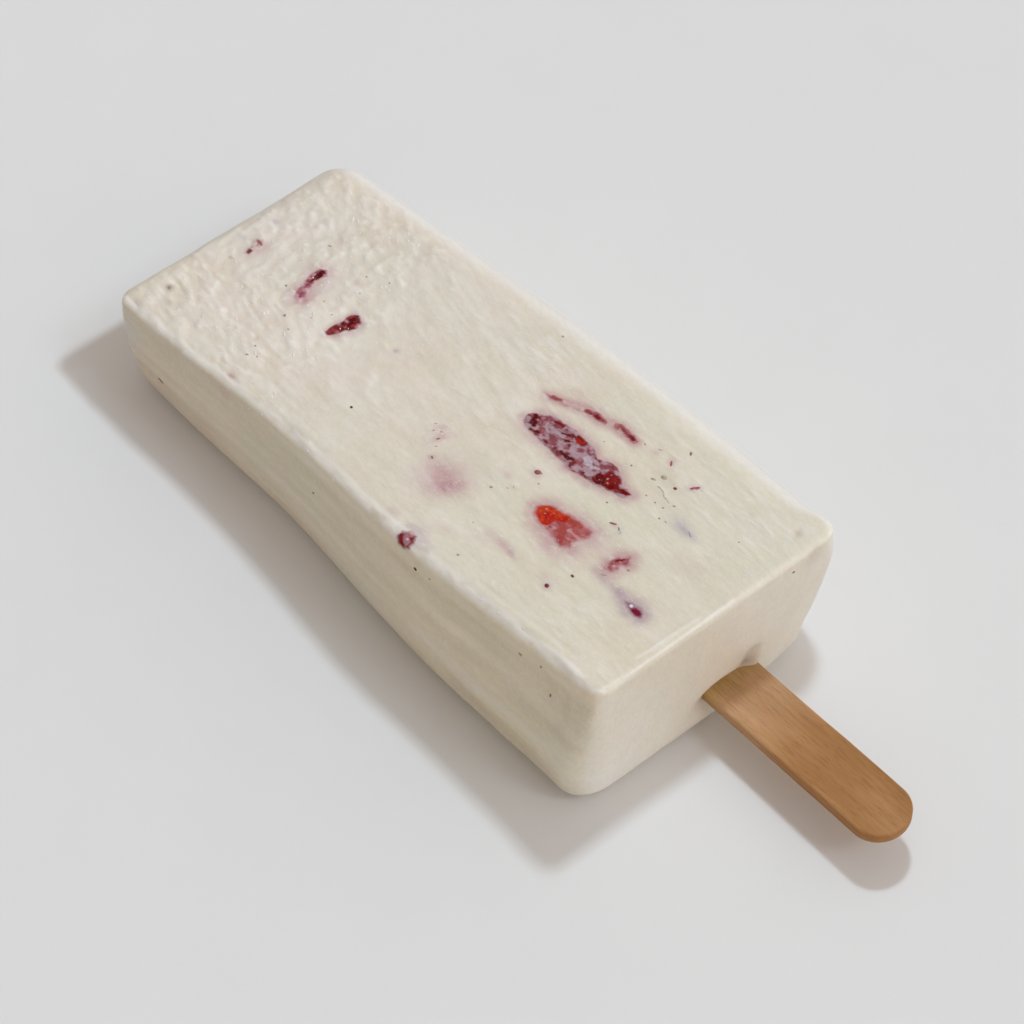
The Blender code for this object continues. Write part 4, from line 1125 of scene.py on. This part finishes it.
def add_seeds(tree):
    seeds = Domes(tree, 12)
    for x, y, half_length, half_width, turn, colour in SEEDS:
        if half_length < 0.31 and colour != BLACK:
            redder = (colour[0] * 1.2, colour[1] * 0.9, colour[2] * 0.8)
            colour = tuple(blend(part, cream, 0.38) for part, cream in zip(redder, STICK_END_CREAM))
        seeds.add(top_spot(x, y), UP, half_length * MM, half_width * MM, 0.5 * half_width * MM, turn, colour)
    for place, half_length, half_width, turn, colour in SIDE_SEEDS:
        outward = Vector((math.copysign(1, place[0]), 0, 0)) if abs(place[0]) > 53 else Vector((0, math.copysign(1, place[1]), 0))
        seeds.add(Vector(place) * MM, outward, half_length * MM, half_width * MM, 0.5 * half_width * MM, turn, colour)
    for (ax, ay), (bx, by) in zip(THREAD, THREAD[1:]):
        turn = math.degrees(math.atan2(by - ay, bx - ax))
        reach = 0.62 * math.hypot(bx - ax, by - ay)
        seeds.add(top_spot((ax + bx) / 2, (ay + by) / 2), UP, reach * MM, 0.11 * MM, 0.05 * MM, turn, (0.60, 0.53, 0.44))
    piece = seeds.build("seeds")
    store(piece.data, "tint", np.array(seeds.colours))
    finish_piece(piece, seed_material(), None)


def add_frost(tree):
    """Small crystals of frost, which also stand in for glints, most of them along the right edge of the top face."""
    chance = random.Random(23)
    frost = Domes(tree, 10)
    for count, across_x, across_y, sizes, stretches, turn, spread in CRYSTALS:
        for _ in range(count):
            spot = top_spot(chance.uniform(*across_x), chance.uniform(*across_y))
            size = chance.uniform(*sizes) * MM
            length = size * chance.uniform(*stretches)
            frost.add(spot, UP, length, size, 0.5 * size, turn + chance.gauss(0, spread), None)
    leaning = (UP + RIGHT).normalized()
    for _ in range(26):
        x = chance.uniform(-51, 53)
        spot = top_spot(x, -22.6) + Vector((0, chance.gauss(0, 0.5) * MM, chance.gauss(-0.2, 0.35) * MM))
        size = chance.uniform(0.08, 0.20) * MM
        frost.add(spot, leaning, size * chance.uniform(1, 1.8), size, 0.4 * size, chance.uniform(0, 180), None)
    finish_piece(frost.build("frost_flecks"), frost_and_glint_material(), None)


# ---------------------------------------------------------------- the stick

def stick_outline():
    """The stick's outline, with rounded ends that stay a little flatter than a half circle."""
    bulge = 0.92 * STICK_WIDTH / 2
    straight = STICK_LENGTH / 2 - bulge
    outline = []
    for direction in (1, -1):
        for i in range(33):
            angle = math.pi * (i / 32 - 0.5)
            outline.append((direction * (straight + bulge * math.cos(angle)),
                            direction * STICK_WIDTH / 2 * math.sin(angle)))
        for i in range(1, 200):
            outline.append((direction * blend(straight, -straight, i / 200), direction * STICK_WIDTH / 2))
    return np.array(outline)


def build_stick():
    low, high = (Vector(corner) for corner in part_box("stick"))
    outline = stick_outline()
    straight = STICK_LENGTH / 2 - 0.92 * STICK_WIDTH / 2
    inward = outline.copy()
    inward[:, 0] -= np.clip(inward[:, 0], -straight, straight)
    inward /= np.linalg.norm(inward, axis=1, keepdims=True)
    half_thickness = STICK_THICKNESS / 2
    levels = [(STICK_WIDTH / 2 * share, -half_thickness) for share in (0.85, 0.65, 0.45, 0.25)]
    for i in range(7):
        angle = math.pi / 2 * i / 6
        levels.append((STICK_EASE * (1 - math.sin(angle)), STICK_EASE * (1 - math.cos(angle)) - half_thickness))
    levels += [(inset, -height) for inset, height in reversed(levels)]
    points = np.concatenate([np.column_stack((outline - inward * inset, np.full(len(outline), height)))
                             for inset, height in levels])
    count = len(outline)
    faces = []
    for ring in range(len(levels) - 1):
        for k in range(count):
            j = (k + 1) % count
            faces.append((ring * count + k, ring * count + j, (ring + 1) * count + j, (ring + 1) * count + k))
    faces.append(tuple(range(count))[::-1])
    faces.append(tuple(range((len(levels) - 1) * count, len(levels) * count)))
    points[:, 1] += 0.06 * MM * layered_noise(points, (7 * MM, 9 * MM, 9 * MM), 5, 3) * np.sign(points[:, 1])
    points[:, 2] += 0.035 * MM * layered_noise(points, (9 * MM, 0.9 * MM, 3 * MM), 15, 2)
    place = Matrix.Rotation(STICK_TURN, 3, "Z") @ Matrix.Rotation(-STICK_RISE, 3, "Y")
    points = points @ np.array(place).T + np.array((low + high) / 2)
    stick = new_object("wooden_stick", points, faces)
    bar_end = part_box("ice_block")[1][0]
    uneven = 1.4 * MM * layered_noise(points, (5 * MM, 0.8 * MM, 5 * MM), 3, 2)
    # The damp zone next to the bar: damp wood, painted lighter to offset the bar's shadow there.
    store(stick.data, "damp_and_painted_light", smooth((bar_end + 0.8 * MM - points[:, 0] + 0.5 * uneven) / (3.0 * MM)))
    store(stick.data, "fresh", smooth((bar_end + 16.0 * MM - points[:, 0] + 2 * uneven) / (16.0 * MM)))
    facing = normals_of(stick.data)
    # edge marks where the painted highlight goes: the stick's rounded long edge that faces +Y and up.
    store(stick.data, "edge", bump(facing[:, 2] - 0.55, 0.3) * smooth((facing[:, 1] - 0.3) / 0.4))
    # side marks the stick's narrow sides, which the wood material darkens as painted shade.
    store(stick.data, "side", smooth((0.5 - facing[:, 2]) / 0.3))
    return stick


# ---------------------------------------------------------------- light, floor and camera

def add_sun(name, direction, angle, strength, colour):
    light = bpy.data.lights.new(name, "SUN")
    light.angle = math.radians(angle)
    light.energy = strength
    light.color = colour
    thing = bpy.data.objects.new(name, light)
    bpy.context.scene.collection.objects.link(thing)
    thing.rotation_euler = (-Vector(direction)).to_track_quat("-Z", "Y").to_euler()


def add_lamp():
    """A small round lamp whose light falls evenly on the floor, however far away."""
    light = bpy.data.lights.new("lamp", "POINT")
    light.shadow_soft_size = LAMP_RADIUS
    light.energy = LAMP_POWER
    light.color = LAMP_COLOUR
    light.use_nodes = True
    nodes, links = light.node_tree.nodes, light.node_tree.links
    falloff = nodes.new("ShaderNodeLightFalloff")
    falloff.inputs["Strength"].default_value = 1.0
    direction = nodes.new("ShaderNodeSeparateXYZ")
    links.new(nodes.new("ShaderNodeTexCoord").outputs["Normal"], direction.inputs[0])
    slant = maths(nodes, links, "MAXIMUM", maths(nodes, links, "ABSOLUTE", direction.outputs["Z"], 0.0), 0.15)
    strength = maths(nodes, links, "DIVIDE", falloff.outputs["Constant"], slant)
    links.new(strength, nodes["Emission"].inputs["Strength"])
    lamp = bpy.data.objects.new("lamp", light)
    lamp.location = LAMP_PLACE
    bpy.context.scene.collection.objects.link(lamp)


def soft_room():
    """Warm light from all round, stronger towards the stick end and the left side."""
    world = bpy.data.worlds.new("soft_room")
    world.use_nodes = True
    nodes, links = world.node_tree.nodes, world.node_tree.links
    direction = nodes.new("ShaderNodeSeparateXYZ")
    links.new(nodes.new("ShaderNodeTexCoord").outputs["Generated"], direction.inputs[0])
    east = maths(nodes, links, "MULTIPLY", direction.outputs["X"], ROOM_EAST)
    north = maths(nodes, links, "MULTIPLY", direction.outputs["Y"], ROOM_NORTH)
    strength = maths(nodes, links, "ADD", maths(nodes, links, "ADD", east, north), 1.0)
    background = nodes["Background"]
    background.inputs["Color"].default_value = (*ROOM_COLOUR, 1)
    links.new(strength, background.inputs["Strength"])
    return world


def floor_material():
    look, nodes, links, shader = node_material("pale_floor")
    tone = noise_node(nodes, links, object_place(nodes), 60, 4)
    links.new(ramp(nodes, links, tone, ((0.3, grey(0.795)), (0.7, grey(0.805)))), shader.inputs["Base Color"])
    shader.inputs["Roughness"].default_value = 0.9
    shader.inputs["Specular IOR Level"].default_value = 0.1
    return look


def set_stage():
    scene = bpy.context.scene
    scene.world = soft_room()
    add_lamp()
    add_sun("second", (0.80, 0.25, 1.0), 14, 0.36, LAMP_COLOUR)
    size = 3.0
    mesh = bpy.data.meshes.new("floor")
    mesh.from_pydata([(-size, -size, 0), (size, -size, 0), (size, size, 0), (-size, size, 0)], [], [(0, 1, 2, 3)])
    mesh.materials.append(floor_material())
    floor = bpy.data.objects.new("floor", mesh)
    floor.location.z = -0.05 * MM
    scene.collection.objects.link(floor)
    lens = bpy.data.cameras.new("camera")
    lens.lens = CAMERA_LENS
    lens.sensor_width = 36.0
    lens.clip_start = 0.01
    camera = bpy.data.objects.new("camera", lens)
    scene.collection.objects.link(camera)
    towards = Vector((math.cos(CAMERA_ELEVATION) * math.cos(CAMERA_AZIMUTH),
                      math.cos(CAMERA_ELEVATION) * math.sin(CAMERA_AZIMUTH), math.sin(CAMERA_ELEVATION)))
    camera.location = CAMERA_TARGET + towards * CAMERA_DISTANCE
    camera.rotation_euler = (-towards).to_track_quat("-Z", "Y").to_euler()
    scene.camera = camera
    scene.view_settings.view_transform = "Standard"
    scene.view_settings.look = "None"


# ---------------------------------------------------------------- building it all

def build_bar():
    """The whole bar with its relief, and a tree of its surface to set the fruit on."""
    box_points, faces = bar_grid()
    form = moulded(rounded(box_points))
    low, high = (np.array(corner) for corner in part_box("ice_block"))
    form = low + (form - form.min(axis=0)) * (high - low) / (form.max(axis=0) - form.min(axis=0))
    bar = new_object("cream_bar", form, faces)
    normals = normals_of(bar.data)
    depth, frost = bar_relief(form, normals)
    points = form + normals * depth[:, None]
    set_points(bar.data, points)
    store(bar.data, "frost", frost)
    store(bar.data, "tint", cream_colours(points, normals))
    store(bar.data, "flow", flow(points))
    finish_piece(bar, frozen_surface("frozen_cream", 0.34, 0.5, 0.28, 1.0), "ice_block")
    return BVHTree.FromPolygons([tuple(point) for point in points.tolist()], faces)


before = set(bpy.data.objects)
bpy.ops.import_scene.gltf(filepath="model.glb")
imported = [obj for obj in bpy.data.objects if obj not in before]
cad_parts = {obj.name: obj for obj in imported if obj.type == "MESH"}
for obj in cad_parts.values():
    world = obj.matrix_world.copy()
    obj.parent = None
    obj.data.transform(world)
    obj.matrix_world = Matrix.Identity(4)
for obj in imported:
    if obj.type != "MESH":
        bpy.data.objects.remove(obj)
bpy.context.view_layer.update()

set_stage()
tree = build_bar()
fruit_look = frozen_surface("strawberry", 0.36, 0.07, 0.0, 0.20)
for number, fruit in enumerate(FRUIT):
    fruit_piece(fruit, tree, fruit_look, 300 + 50 * number)
add_seeds(tree)
add_frost(tree)
finish_piece(build_stick(), wood_material(), "stick")
